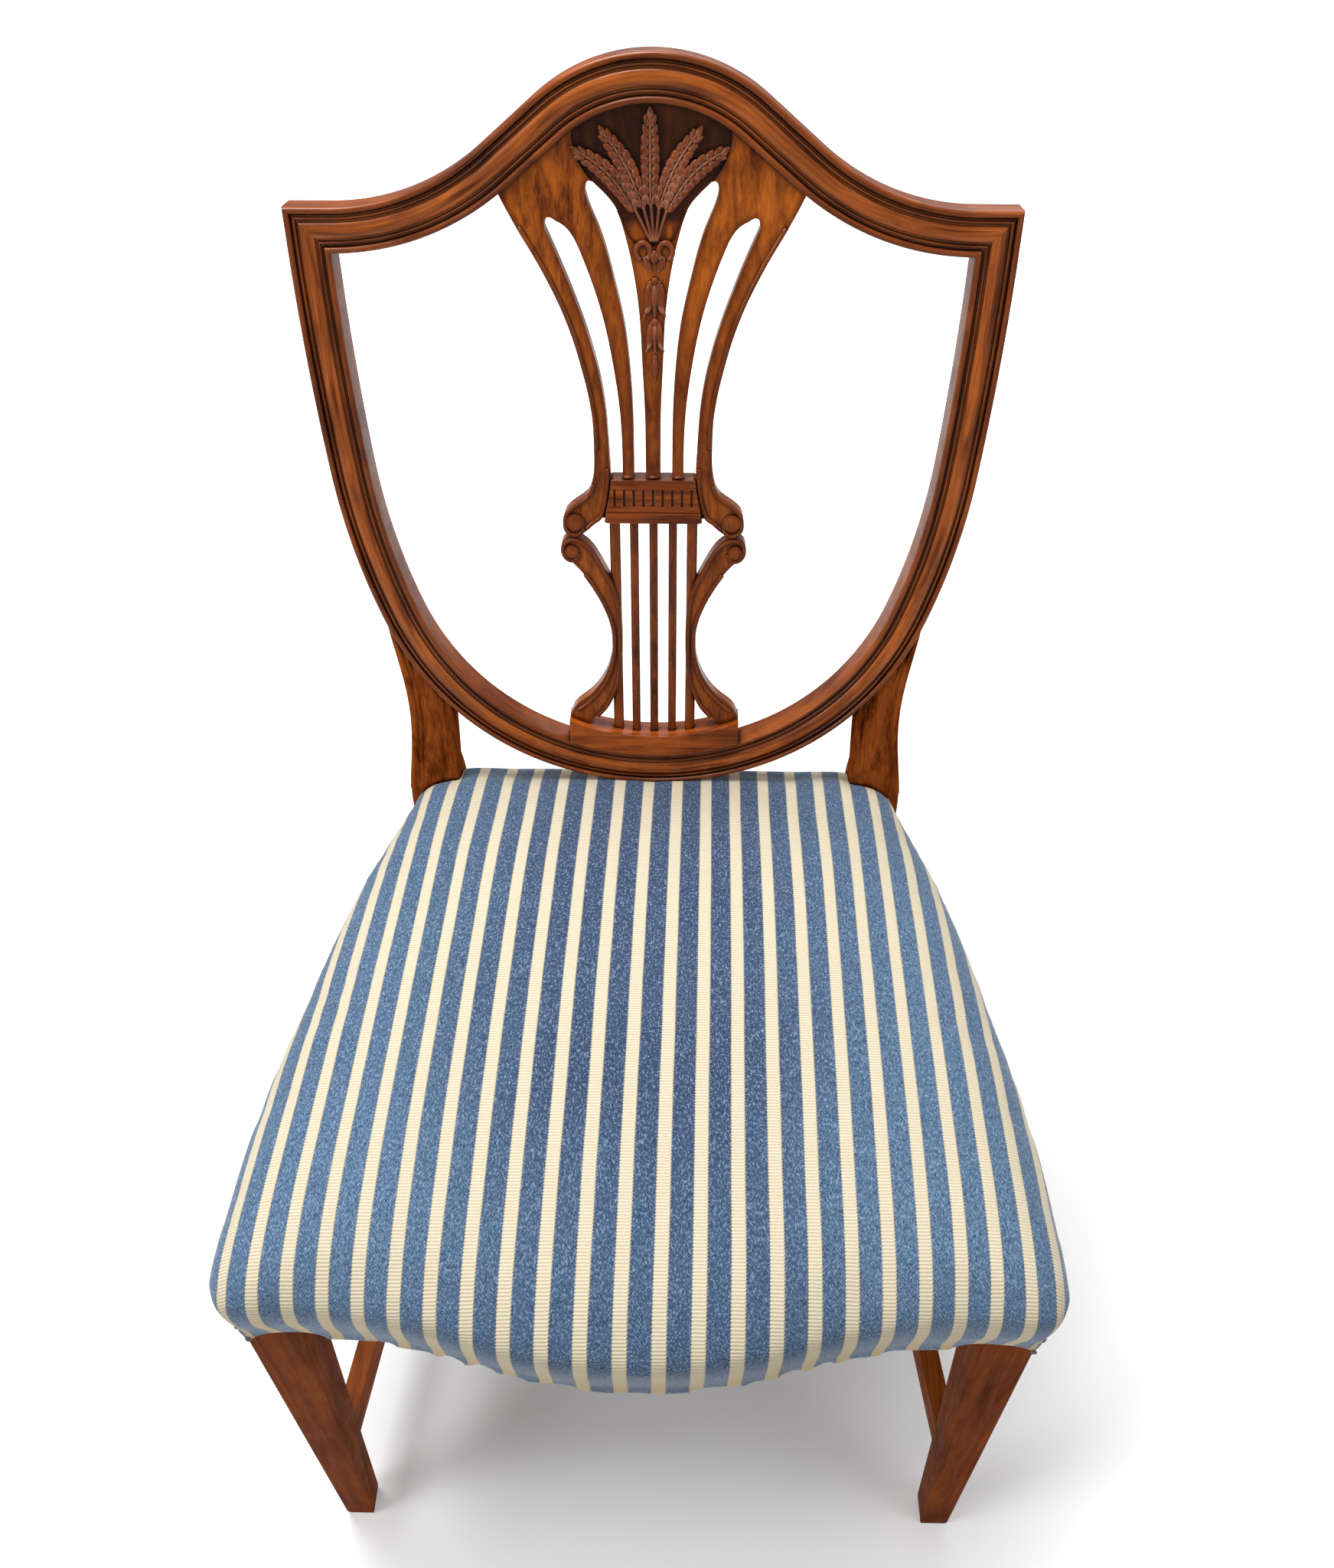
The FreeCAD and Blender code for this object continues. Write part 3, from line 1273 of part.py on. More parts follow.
def under_plan(inset):
    """Plan of the seat frame inside the outer faces of the rails, clear of legs and posts."""
    face = serpentine(rail_face + inset, leg_inner - soft_gap, seat_bow)
    front_share, rear_share = 0.0, 1.0
    behind_leg = plain(leg_back + soft_gap)
    before_post = plain(back_y - post_room)
    front, rear = side_rail_edge(front_share, inset), side_rail_edge(rear_share, inset)
    slope = plain(rear[0] - front[0]) / plain(rear[1] - front[1])

    def edge(y):
        return (plain(front[0]) + slope * (y - plain(front[1])), y)

    beside_post = plain(post_inner - post_room)
    back = plain(back_y + rail_face + rail_thick - inset)
    corners = [face[-1], (face[-1][0], behind_leg), edge(behind_leg), edge(before_post),
               (beside_post, before_post), (beside_post, back)]
    corners += [(-x, y) for x, y in reversed(corners)]
    return [face] + [[corners[k], corners[k + 1]] for k in range(len(corners) - 1)]


def seat_stuffing():
    """Crowned stuffing between the hessian and the cover."""
    body = new_body("stuffing_form")
    inset = plain(cover_thick + soft_gap)
    floor = plain(rail_top + web_thick * 2 + cloth_thick + soft_gap * 3)
    steps = INSIDE[2:3] + INSIDE[2:]
    loft(body, stuffed_form(body, "stuffing", steps, inset, inset + 0.2, floor), "stuffing_loft", ruled=True)
    return finish(cut("seat_stuffing", body, post_notches("stuffing_notch", post_room)), "seat_stuffing")


def seat_webbing():
    """Webs across the seat frame: four front to back, three across on top of them."""
    webs = []
    for k in range(4):
        x = (k - 1.5) * (web_width + web_space)
        bow = 0.4 if k in (1, 2) else 0.05
        webs.append(block("long_web_%d" % (k + 1),
                          (x - web_width / 2, front_y + 10.0 - seat_bow * bow, rail_top + soft_gap),
                          (x + web_width / 2, back_y + rail_face + 15.0, rail_top + soft_gap + web_thick)))
    for k in range(3):
        y = front_y + 110.0 + (web_width + web_space * 2) * k
        share = (y - leg_back) / (back_y - leg_back)
        reach = leg_spread - 12.0 + (post_outer - leg_spread) * share
        low = rail_top + soft_gap + web_thick
        webs.append(block("cross_web_%d" % (k + 1), (-reach, y - web_width / 2, low),
                          (reach, y + web_width / 2, low + web_thick)))
    return finish(combine("Part::MultiFuse", "seat_webbing", webs), "seat_webbing")


def cloth_sheet(label, inset, low, thick):
    """A flat cloth in the plan of the seat frame between two heights."""
    body = new_body(label + "_sheet")
    outline = new_sketch(body, label + "_plan", lift=low)
    draw_runs(outline, under_plan(inset))
    pad(body, outline, thick, label + "_pad")
    return body


def seat_hessian():
    """Hessian over the webs."""
    low = rail_top + web_thick * 2 + soft_gap * 2
    return finish(cloth_sheet("hessian", 8.0, low, cloth_thick), "seat_hessian")


def dust_cover():
    """Black cloth under the seat, over the turned edge of the cover."""
    low = rail_low - 2.0 - soft_gap - cloth_thick
    return finish(cloth_sheet("dust_cover", cover_turn - 6.0, low, cloth_thick), "dust_cover")


def check_and_write():
    """Refuse a failed or empty piece, then write every piece to its own file."""
    doc.recompute()
    for item in doc.Objects:
        if "Invalid" in item.State or "Error" in item.State:
            raise ValueError("%s failed: %s" % (item.Label, item.State))
    os.makedirs("parts", exist_ok=True)
    for piece in finished:
        shape = piece.Shape
        if shape.isNull() or not shape.isValid() or not shape.Solids:
            raise ValueError("%s has no valid shape" % piece.Label)
        print("%-26s %2d %12.1f" % (piece.Label, len(shape.Solids), shape.Volume))
    for piece in finished:
        piece.Shape.exportStep("parts/%s.step" % piece.Label)


crest_rail()
splat_fan()
splat_tablet()
lyre_arms()
lyre_strings()
splat_shoe()
shield_base_rail()
back_posts()
side_rails()
back_rail()
front_rail()
front_legs()
side_stretchers()
cross_stretcher()
rear_stretcher()
corner_blocks()
seat_webbing()
seat_hessian()
seat_stuffing()
seat_cover()
dust_cover()
check_and_write()
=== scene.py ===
"""A shield back dining chair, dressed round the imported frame.

The frame carries the joinery. This file gives it its polish, its carving, its striped
seat and its small fixings, and sets it on a pale studio floor.
"""

import logging
import math
from dataclasses import dataclass
from enum import Enum

import bmesh
import bpy
import numpy as np
from mathutils import Matrix, Vector
from mathutils.bvhtree import BVHTree


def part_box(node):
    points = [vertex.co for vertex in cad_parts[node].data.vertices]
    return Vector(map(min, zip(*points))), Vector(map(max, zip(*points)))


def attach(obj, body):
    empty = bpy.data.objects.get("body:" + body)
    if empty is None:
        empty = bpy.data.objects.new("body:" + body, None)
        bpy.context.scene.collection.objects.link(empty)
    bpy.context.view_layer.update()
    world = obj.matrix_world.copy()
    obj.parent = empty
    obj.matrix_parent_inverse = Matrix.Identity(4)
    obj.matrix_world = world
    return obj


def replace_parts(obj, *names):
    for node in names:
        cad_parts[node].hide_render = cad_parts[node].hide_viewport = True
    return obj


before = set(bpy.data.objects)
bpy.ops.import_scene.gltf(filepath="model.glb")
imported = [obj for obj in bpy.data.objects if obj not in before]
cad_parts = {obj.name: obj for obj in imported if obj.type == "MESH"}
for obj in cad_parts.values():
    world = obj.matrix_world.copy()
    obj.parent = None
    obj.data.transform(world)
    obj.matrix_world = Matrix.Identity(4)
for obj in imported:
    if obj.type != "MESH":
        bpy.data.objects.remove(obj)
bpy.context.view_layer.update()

log = logging.getLogger("chair")

MM = 0.001
RAKE = math.radians(12.0)          # lean of the back
BACK_Y = 175.0                     # front of the back at the seat line
SEAT_LINE = 447.2                  # height of that line
SPLAT_FRONT = -4.5                 # face of the splat behind the reeds
GROUND_FRONT = -7.0                # face of the ground behind the carving
TABLET_LOW = 231.0                 # underside of the tablet
TABLET_TOP = 263.0                 # its top
WELD = 1e-6                        # points nearer than this are one
Point = tuple[float, float]
Colour = tuple[float, float, float]


class Axis(Enum):
    """Direction in which the grain of a piece of wood runs."""

    ACROSS = 0
    DEPTH = 1
    UPRIGHT = 2

    def drawn_out(self, share: float) -> Colour:
        """Scale that draws a pattern out along this axis."""
        return tuple(share if index == self.value else 1.0 for index in range(3))


def on_back(across: float, rise: float, proud: float = 0.0) -> Vector:
    """Turn a place on the raked back into a place in the room.

    Args:
        across: Distance from the middle of the chair in millimetres.
        rise: Distance up the rake from the seat line.
        proud: Distance in front of the reeds.

    Returns:
        The point in metres.
    """
    y = BACK_Y + rise * math.sin(RAKE) - proud * math.cos(RAKE)
    z = SEAT_LINE + rise * math.cos(RAKE) + proud * math.sin(RAKE)
    return Vector((across, y, z)) * MM


def back_turn() -> Matrix:
    """Turn that lays the XY plane on the raked back, Z out of its front."""
    up = Vector((0.0, math.sin(RAKE), math.cos(RAKE)))
    out = Vector((0.0, -math.cos(RAKE), math.sin(RAKE)))
    return Matrix((Vector((1.0, 0.0, 0.0)), up, out)).transposed().to_4x4()


class Graph:
    """Node tree of one material, with short ways to add and join its nodes."""

    def __init__(self, name: str) -> None:
        """Start a material with its shader and its object coordinates."""
        self.material = bpy.data.materials.new(name)
        self.material.use_nodes = True
        self.tree = self.material.node_tree
        self.shader = self.tree.nodes["Principled BSDF"]
        self.places = self.add("ShaderNodeTexCoord").outputs["Object"]

    def feed(self, socket: bpy.types.NodeSocket, value: object) -> None:
        """Join a socket to another, or set its value."""
        if isinstance(value, bpy.types.NodeSocket):
            self.tree.links.new(value, socket)
        else:
            socket.default_value = value

    def add(self, kind: str, inputs: dict | None = None, **settings: object) -> bpy.types.Node:
        """Add a node.

        Args:
            kind: Type name of the node.
            inputs: Values or sockets by the name or number of an input.
            settings: Properties of the node.

        Returns:
            The node.
        """
        made = self.tree.nodes.new(kind)
        for key, value in settings.items():
            setattr(made, key, value)
        for key, value in (inputs or {}).items():
            self.feed(made.inputs[key], value)
        return made

    def math(self, operation: str, *values: object) -> bpy.types.NodeSocket:
        """Add a calculation on one to three values and return its result."""
        return self.add("ShaderNodeMath", dict(enumerate(values)), operation=operation).outputs[0]

    def wave(self, value: object, pitch: float) -> bpy.types.NodeSocket:
        """Sine that repeats at a pitch."""
        return self.math("SINE", self.math("MULTIPLY", value, 2 * math.pi / pitch))

    def stretched(self, scale: Colour) -> bpy.types.NodeSocket:
        """Object coordinates stretched along the axes."""
        return self.add("ShaderNodeMapping", {"Vector": self.places, "Scale": scale}).outputs[0]

    def noise(self, where: object, scale: float, detail: float = 4.0, rough: float = 0.55,
              twist: float = 0.0) -> bpy.types.NodeSocket:
        """Cloudy value from 0 to 1."""
        return self.add("ShaderNodeTexNoise", {"Vector": where, "Scale": scale, "Detail": detail,
                                               "Roughness": rough, "Distortion": twist}).outputs[0]

    def span(self, value: object, low: float, high: float, to_low: float = 0.0,
             to_high: float = 1.0) -> bpy.types.NodeSocket:
        """Stretch a value from one span to another, held at its ends."""
        return self.add("ShaderNodeMapRange", {0: value, 1: low, 2: high, 3: to_low, 4: to_high},
                        interpolation_type="SMOOTHSTEP").outputs[0]

    def mix(self, share: object, first: object, second: object) -> bpy.types.NodeSocket:
        """Mix two colours."""
        made = self.add("ShaderNodeMix", data_type="RGBA")
        for index, value in ((0, share), (6, first), (7, second)):
            if isinstance(value, tuple) and len(value) == 3:
                value = (*value, 1.0)
            self.feed(made.inputs[index], value)
        return made.outputs[2]

    def bump(self, height: object, strength: float, depth: float,
             below: object | None = None) -> bpy.types.NodeSocket:
        """Bump from a height, laid over another one where it is given."""
        inputs = {"Height": height, "Strength": strength, "Distance": depth}
        if below is not None:
            inputs["Normal"] = below
        return self.add("ShaderNodeBump", inputs).outputs[0]

    def corners(self, reach: float, inside: bool = False) -> bpy.types.NodeSocket:
        """How open the surface is: low in grooves, or low at edges when looked at from inside."""
        return self.add("ShaderNodeAmbientOcclusion", {"Distance": reach}, samples=8,
                        inside=inside, only_local=inside).outputs["AO"]

    def shade(self, **values: object) -> None:
        """Feed the shader's sockets, named with an underscore for each space."""
        for name, value in values.items():
            self.feed(self.shader.inputs[name.replace("_", " ")], value)


@dataclass(frozen=True)
class Mahogany:
    """Polished reddish wood, darkened by grime and painted shade in its grooves, and rubbed pale on its edges.

    Attributes:
        name: Name of the material.
        grain: Direction of the grain.
        lit: Colour of the wood where the polish is thin.
        deep: Colour of its dark streaks.
        grime_and_shade: Colour of pores, and of the grime and painted shade in grooves and corners.
        worn: Colour of rubbed edges.
        reach: Width in metres of what counts as a groove.
        polish: Roughness of the polished face.
        follows: Whether the grain follows a swept piece's own length.
        gloss: How strongly the face mirrors its surroundings.
        rubbed: How pale its edges are worn.
        rim_polish_and_shade: How dark the old polish and the painted shade lie along its edges.
        streaks: Broad streaks of the grain in a metre of width.
        reeds: Where the reeds begin, from the middle line of a swept piece.
        shaded_flank: Where its side face begins, which is darkened as painted shade.
    """

    name: str
    grain: Axis
    lit: Colour = (0.39, 0.090, 0.010)
    deep: Colour = (0.080, 0.013, 0.0022)
    grime_and_shade: Colour = (0.013, 0.0030, 0.0008)
    worn: Colour = (0.56, 0.205, 0.085)
    reach: float = 0.0045
    polish: float = 0.27
    follows: bool = False
    gloss: float = 0.22
    rubbed: float = 0.5
    rim_polish_and_shade: float = 0.0
    streaks: float = 120.0
    reeds: Point = (0.0052, 0.0066)
    shaded_flank: Point = (0.0148, 0.0160)

    def material(self) -> bpy.types.Material:
        """Make the material."""
        g = Graph(self.name)
        outwards = self.laid_along(g) if self.follows else None
        fine = g.noise(g.stretched(self.grain.drawn_out(0.04)), 620.0, 5.0, 0.65)
        cloud = g.noise(g.places, 11.0, 3.0)
        wood = self.streaked(g, fine, cloud)
        if self.follows:
            # The reeds darken, and the side face darkens again as painted shade.
            for low, high in (self.reeds, self.shaded_flank):
                wood = g.mix(g.span(outwards, low, high, 0.0, 0.50), wood, self.deep)
        wood = self.shaded_and_aged(g, self.sunk(g, wood), cloud)
        polish = g.span(g.noise(g.places, 60.0), 0.3, 0.7, self.polish - 0.05, self.polish + 0.09)
        g.shade(Base_Color=wood, Roughness=polish, Normal=g.bump(fine, 0.10, 0.0002))
        if self.follows:
            g.shade(Specular_IOR_Level=g.span(outwards, 0.0146, 0.0156, self.gloss, 0.0))
        else:
            g.shade(Coat_Weight=self.gloss * 0.5, Coat_Roughness=0.14, Specular_IOR_Level=self.gloss)
        return g.material

    def laid_along(self, g: Graph) -> bpy.types.NodeSocket:
        """Let the grain follow a swept piece, and return the distance from its middle line."""
        aside, run = (g.add("ShaderNodeAttribute", attribute_name=name).outputs["Fac"] for name in ("aside", "run"))
        g.places = g.add("ShaderNodeCombineXYZ", {0: aside, 2: run}).outputs[0]
        return g.math("ABSOLUTE", aside)

    def streaked(self, g: Graph, fine: bpy.types.NodeSocket, cloud: bpy.types.NodeSocket) -> bpy.types.NodeSocket:
        """Lay streaks, stains and pores over each other.

        Args:
            g: Node tree of the material.
            fine: Fine streaks.
            cloud: Broad patches.

        Returns:
            The colour of the wood before its wear.
        """
        broad = g.noise(g.stretched(self.grain.drawn_out(0.075)), self.streaks, 5.0, 0.6, 0.6)
        blend = g.math("ADD", g.math("MULTIPLY", g.span(broad, 0.30, 0.68), 0.66),
                       g.math("MULTIPLY", g.span(fine, 0.32, 0.7), 0.30))
        wood = g.mix(g.math("ADD", blend, g.span(cloud, 0.32, 0.68, -0.15, 0.22)), self.deep, self.lit)
        wood = g.mix(g.span(g.noise(g.places, 19.0, 2.0), 0.60, 0.72, 0.0, 0.45), wood, self.deep)
        return g.mix(g.span(fine, 0.26, 0.36, 0.55, 0.0), wood, self.grime_and_shade)

    def shaded_and_aged(self, g: Graph, wood: bpy.types.NodeSocket, cloud: bpy.types.NodeSocket) -> bpy.types.NodeSocket:
        """Paint grime and shade into grooves, dark polish and painted shade along rims, and rub the edges pale."""
        # Grime and painted shade darken the grooves and corners.
        wood = g.mix(g.span(g.corners(self.reach), 0.38, 0.93, 0.97, 0.0), wood, self.grime_and_shade)
        if self.rim_polish_and_shade:
            # Old dark polish and painted shade darken the edges.
            rim_polish_and_shade_mask = g.span(g.corners(0.0060, True), 0.60, 0.97, self.rim_polish_and_shade, 0.0)
            wood = g.mix(g.math("MULTIPLY", rim_polish_and_shade_mask, g.span(cloud, 0.3, 0.6, 0.6, 1.0)), wood, self.deep)
        if self.rubbed:
            edge = g.span(g.corners(0.0018, True), 0.25, 0.75, self.rubbed, 0.0)
            wood = g.mix(g.math("MULTIPLY", edge, g.span(cloud, 0.3, 0.6, 0.4, 1.0)), wood, self.worn)
        return wood

    def sunk(self, g: Graph, wood: bpy.types.NodeSocket) -> bpy.types.NodeSocket:
        """Leave the wood as it is; a finish with a sunk ground paints shade there."""
        return wood


@dataclass(frozen=True)
class SplatMahogany(Mahogany):
    """Mahogany of the pierced splat, with painted shade on the ground behind the carving."""

    def sunk(self, g: Graph, wood: bpy.types.NodeSocket) -> bpy.types.NodeSocket:
        """Paint shade on the ground by how far it lies behind the reeds, and darken the splat towards its bottom."""
        part = g.add("ShaderNodeSeparateXYZ", {0: g.places})
        depth = g.math("MULTIPLY_ADD", part.outputs[1], -math.cos(RAKE), BACK_Y * MM * math.cos(RAKE))
        proud = g.math("ADD", depth, g.math("MULTIPLY_ADD", part.outputs[2], math.sin(RAKE),
                                            -SEAT_LINE * MM * math.sin(RAKE)))
        sunk = g.math("MULTIPLY", g.span(proud, -0.0085, -0.0080), g.span(proud, -0.0058, -0.0052, 1.0, 0.0))
        high = g.math("MULTIPLY", g.span(part.outputs[2], 0.868, 0.874),
                      g.span(g.math("ABSOLUTE", part.outputs[0]), 0.050, 0.056, 1.0, 0.0))
        # The splat darkens towards its bottom.
        wood = g.mix(g.span(part.outputs[2], 0.87, 0.79, 0.0, 0.34), wood, self.deep)
        # Painted shade on the sunk ground behind the wheat ears.
        return g.mix(g.math("MULTIPLY", g.math("MULTIPLY", sunk, high), 0.88), wood, self.grime_and_shade)


@dataclass(frozen=True)
class PlainWood:
    """Unpolished seat frame wood, sawn, with painted shade darkening its corners."""

    name: str
    grain: Axis
    colour: Colour = (0.33, 0.19, 0.095)

    def material(self) -> bpy.types.Material:
        """Make the material."""
        g = Graph(self.name)
        streaks = g.noise(g.stretched(self.grain.drawn_out(0.06)), 240.0, 5.0, 0.6, 0.3)
        dark = tuple(part * 0.55 for part in self.colour)
        wood = g.mix(g.span(streaks, 0.3, 0.7), dark, self.colour)
        # Painted shade darkens the corners.
        wood = g.mix(g.span(g.corners(0.012), 0.2, 0.9, 0.7, 0.0), wood, (0.05, 0.03, 0.018))
        g.shade(Base_Color=wood, Roughness=0.78, Normal=g.bump(streaks, 0.3, 0.0006))
        return g.material


@dataclass(frozen=True)
class StripedCloth:
    """Blue twill and cream ribbed stripes, woven along the depth of the seat.

    The pattern follows the UV map of the cover, which is measured in metres.

    Attributes:
        name: Name of the material.
        period: Width of a blue and a cream stripe together.
        shift: Share of that width by which the pattern is moved.
        skew: How far the stripes lean.
        blue_share: Share of the width that is blue.
        middle_blue: Blue of the middle of the seat.
        lit_side_blue: Lighter blue of its sides and front, as painted light.
        pale: Cream of the stripes.
        tan: Their shaded threads, and the painted shade of the pale stripes down the front drop.
        pick: Pitch of the ribs in the cream stripes.
        twill: Pitch of the twill across and along the cloth.
    """

    name: str = "striped_cloth"
    period: float = 0.02365
    shift: float = 0.253
    skew: float = -0.011
    blue_share: float = 0.612
    middle_blue: Colour = (0.027, 0.057, 0.122)
    lit_side_blue: Colour = (0.092, 0.172, 0.285)
    pale: Colour = (0.72, 0.68, 0.565)
    tan: Colour = (0.50, 0.37, 0.17)
    pick: float = 0.0021
    twill: Point = (0.0022, 0.0026)

    def material(self) -> bpy.types.Material:
        """Make the material."""
        g = Graph(self.name)
        cloth = g.add("ShaderNodeSeparateXYZ", {0: g.add("ShaderNodeUVMap", uv_map="cloth").outputs[0]})
        across, along = cloth.outputs[0], cloth.outputs[1]
        room = g.add("ShaderNodeSeparateXYZ", {0: g.places})
        sway = g.math("MULTIPLY", g.math("SUBTRACT", g.noise(g.places, 7.0, 2.0), 0.5), 0.0018)
        straight = g.math("ADD", g.math("MULTIPLY_ADD", along, self.skew, across), sway)
        picks = g.wave(along, self.pick)
        ragged = g.math("MULTIPLY_ADD", picks, 0.00028, straight)
        cycle = g.math("FRACT", g.math("ADD", g.math("DIVIDE", ragged, self.period), self.shift))
        off = g.math("ABSOLUTE", g.math("SUBTRACT", cycle, 0.5))
        half = self.blue_share / 2
        cream = g.span(off, half - 0.008, half + 0.008)
        thread = g.math("MULTIPLY", g.span(off, half - 0.030, half - 0.006), g.span(off, half + 0.006, half + 0.026,
                                                                                    1.0, 0.0))
        slant = g.math("ADD", g.math("MULTIPLY", across, 2 * math.pi / self.twill[0]),
                       g.math("MULTIPLY", along, 2 * math.pi / self.twill[1]))
        twill = g.math("SINE", slant)
        fuzz = g.noise(g.stretched((1.0, 0.5, 1.0)), 880.0, 4.0, 0.75)
        aside = g.math("ABSOLUTE", room.outputs[0])
        # Painted light: the sides and the front of the seat turn lighter, with random tone laid over it.
        painted_light_and_tone = g.math("ADD", g.span(aside, 0.04, 0.22, 0.0, 0.9), g.span(room.outputs[1], -0.08, -0.26, 0.0, 0.40))
        painted_light_and_tone = g.math("ADD", painted_light_and_tone, g.span(g.noise(g.places, 5.0, 2.0), 0.3, 0.7, -0.14, 0.14))
        blue = g.mix(painted_light_and_tone, self.middle_blue, self.lit_side_blue)
        blue = g.mix(g.span(twill, -1.0, 1.0, 0.0, 0.45), blue, (0.022, 0.040, 0.085))
        blue = g.mix(g.span(fuzz, 0.50, 0.33, 0.0, 0.85), blue, (0.012, 0.024, 0.060))
        blue = g.mix(g.span(fuzz, 0.50, 0.67, 0.0, 0.70), blue, (0.30, 0.42, 0.58))
        # Painted shade: the pale stripes darken down the front drop.
        drop_shade = g.span(room.outputs[2], 0.458, 0.402, 0.0, 0.85)
        light = g.mix(drop_shade, self.pale, self.tan)
        light = g.mix(g.span(picks, -1.0, 1.0, 0.55, 0.0), light, self.tan)
        light = g.mix(g.span(fuzz, 0.35, 0.7, 0.26, 0.0), light, self.tan)
        colour = g.mix(cream, blue, light)
        colour = g.mix(g.math("MULTIPLY", thread, 0.5), colour, (0.17, 0.15, 0.13))
        soil = g.math("MULTIPLY", g.span(g.noise(g.places, 22.0, 4.0), 0.52, 0.75),
                      g.span(room.outputs[2], 0.470, 0.42))
        colour = g.mix(g.math("MULTIPLY", soil, 0.32), colour, (0.10, 0.085, 0.065))
        ribs = g.mix(cream, g.math("MULTIPLY", twill, 0.4), picks)
        step = g.bump(cream, 0.6, 0.0004)
        g.shade(Base_Color=colour, Roughness=0.82, Sheen_Weight=0.25, Sheen_Roughness=0.45,
                Specular_IOR_Level=0.25, Normal=g.bump(fuzz, 0.15, 0.0003, g.bump(ribs, 0.5, 0.0003, step)))
        return g.material


@dataclass(frozen=True)
class PlainCloth:
    """Plain weave in one colour, for the webs, the hessian and the dust cover."""

    name: str
    colour: Colour
    thread: float

    def material(self) -> bpy.types.Material:
        """Make the material."""
        g = Graph(self.name)
        parts = g.add("ShaderNodeSeparateXYZ", {0: g.places}).outputs
        weave = g.math("MULTIPLY", g.wave(parts[0], self.thread), g.wave(parts[1], self.thread))
        dark = tuple(part * 0.45 for part in self.colour)
        cloth = g.mix(g.span(weave, -1.0, 1.0), dark, self.colour)
        cloth = g.mix(g.span(g.noise(g.places, 30.0), 0.3, 0.7, 0.0, 0.3), cloth, dark)
        g.shade(Base_Color=cloth, Roughness=0.92, Normal=g.bump(weave, 0.5, 0.0004))
        return g.material


@dataclass(frozen=True)
class Metal:
    """Dull small metal, spotted with age."""

    name: str
    colour: Colour
    roughness: float = 0.38

    def material(self) -> bpy.types.Material:
        """Make the material."""
        g = Graph(self.name)
        spots = g.noise(g.places, 700.0, 3.0)
        dark = tuple(part * 0.3 for part in self.colour)
        g.shade(Base_Color=g.mix(g.span(spots, 0.4, 0.7, 0.0, 0.7), self.colour, dark), Metallic=1.0,
                Roughness=g.span(spots, 0.3, 0.7, self.roughness, self.roughness + 0.25))
        return g.material


class Finishes:
    """One material of each finish that the chair needs."""

    def __init__(self) -> None:
        """Make them all."""
        self.upright = Mahogany("mahogany_upright", Axis.UPRIGHT, lit=(0.41, 0.100, 0.018), gloss=0.0,
                                rubbed=0.0).material()
        self.across = Mahogany("mahogany_across", Axis.ACROSS, lit=(0.52, 0.112, 0.012)).material()
        self.swept = Mahogany("mahogany_swept", Axis.UPRIGHT, lit=(0.56, 0.138, 0.019), gloss=0.32, follows=True,
                              rubbed=0.0, streaks=190.0).material()
        self.splat = SplatMahogany("mahogany_splat", Axis.UPRIGHT, lit=(0.62, 0.150, 0.012),
                                   deep=(0.105, 0.018, 0.0024), reach=0.0040, rubbed=0.0, rim_polish_and_shade=0.72).material()
        self.strings = Mahogany("mahogany_strings", Axis.UPRIGHT, lit=(0.30, 0.062, 0.009),
                                deep=(0.055, 0.010, 0.002), reach=0.0045).material()
        self.carving = Mahogany("mahogany_carved", Axis.UPRIGHT, lit=(0.30, 0.068, 0.018), deep=(0.13, 0.026, 0.007),
                                worn=(0.55, 0.24, 0.13), reach=0.0030).material()
        self.legs = Mahogany("mahogany_legs", Axis.UPRIGHT, lit=(0.25, 0.056, 0.010), deep=(0.085, 0.018, 0.004),
                             reach=0.002, gloss=0.008, polish=0.42).material()
        self.stretchers = Mahogany("mahogany_stretchers", Axis.DEPTH, lit=(0.33, 0.080, 0.013),
                                   deep=(0.07, 0.014, 0.003), reach=0.002, gloss=0.02, polish=0.4).material()
        self.cross = Mahogany("mahogany_cross", Axis.ACROSS, lit=(0.31, 0.075, 0.013), deep=(0.07, 0.014, 0.003),
                              reach=0.002, gloss=0.02, polish=0.4).material()
        self.frame_depth = PlainWood("seat_frame_depth", Axis.DEPTH).material()
        self.frame_across = PlainWood("seat_frame_across", Axis.ACROSS).material()
        self.cloth = StripedCloth().material()
        self.dust = PlainCloth("dust_cloth", (0.032, 0.031, 0.034), 0.0016).material()
        self.jute = PlainCloth("hessian_cloth", (0.36, 0.25, 0.13), 0.0024).material()
        self.web = PlainCloth("web_cloth", (0.42, 0.34, 0.22), 0.0018).material()
        self.hair = PlainCloth("stuffing_fibre", (0.10, 0.075, 0.055), 0.0031).material()
        self.tack = Metal("tack_steel", (0.22, 0.20, 0.19)).material()
        self.screw = Metal("screw_steel", (0.45, 0.43, 0.40)).material()


def as_object(name: str, source: bmesh.types.BMesh) -> bpy.types.Object:
    """Put a bmesh into the scene as an object, and free it."""
    data = bpy.data.meshes.new(name)
    source.to_mesh(data)
    source.free()
    made = bpy.data.objects.new(name, data)
    bpy.context.scene.collection.objects.link(made)
    return made

def mesh_piece(name: str, source: bmesh.types.BMesh, material: bpy.types.Material) -> bpy.types.Object:
    """Turn a bmesh into a finished piece that rides on the chair.

    Args:
        name: Name of the piece.
        source: The mesh, which is freed.
        material: Its finish.

    Returns:
        The object.
    """
    bmesh.ops.remove_doubles(source, verts=source.verts[:], dist=WELD)
    for face in source.faces:
        face.smooth = True
    return dress(as_object(name, source), material)


def dress(made: bpy.types.Object, material: bpy.types.Material) -> bpy.types.Object:
    """Give a piece its material and slot and let it ride on the chair."""
    made.data.materials.clear()
    made.data.materials.append(material)
    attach(made, "root")
    log.info("%s: %d faces", made.name, len(made.data.polygons))
    return made


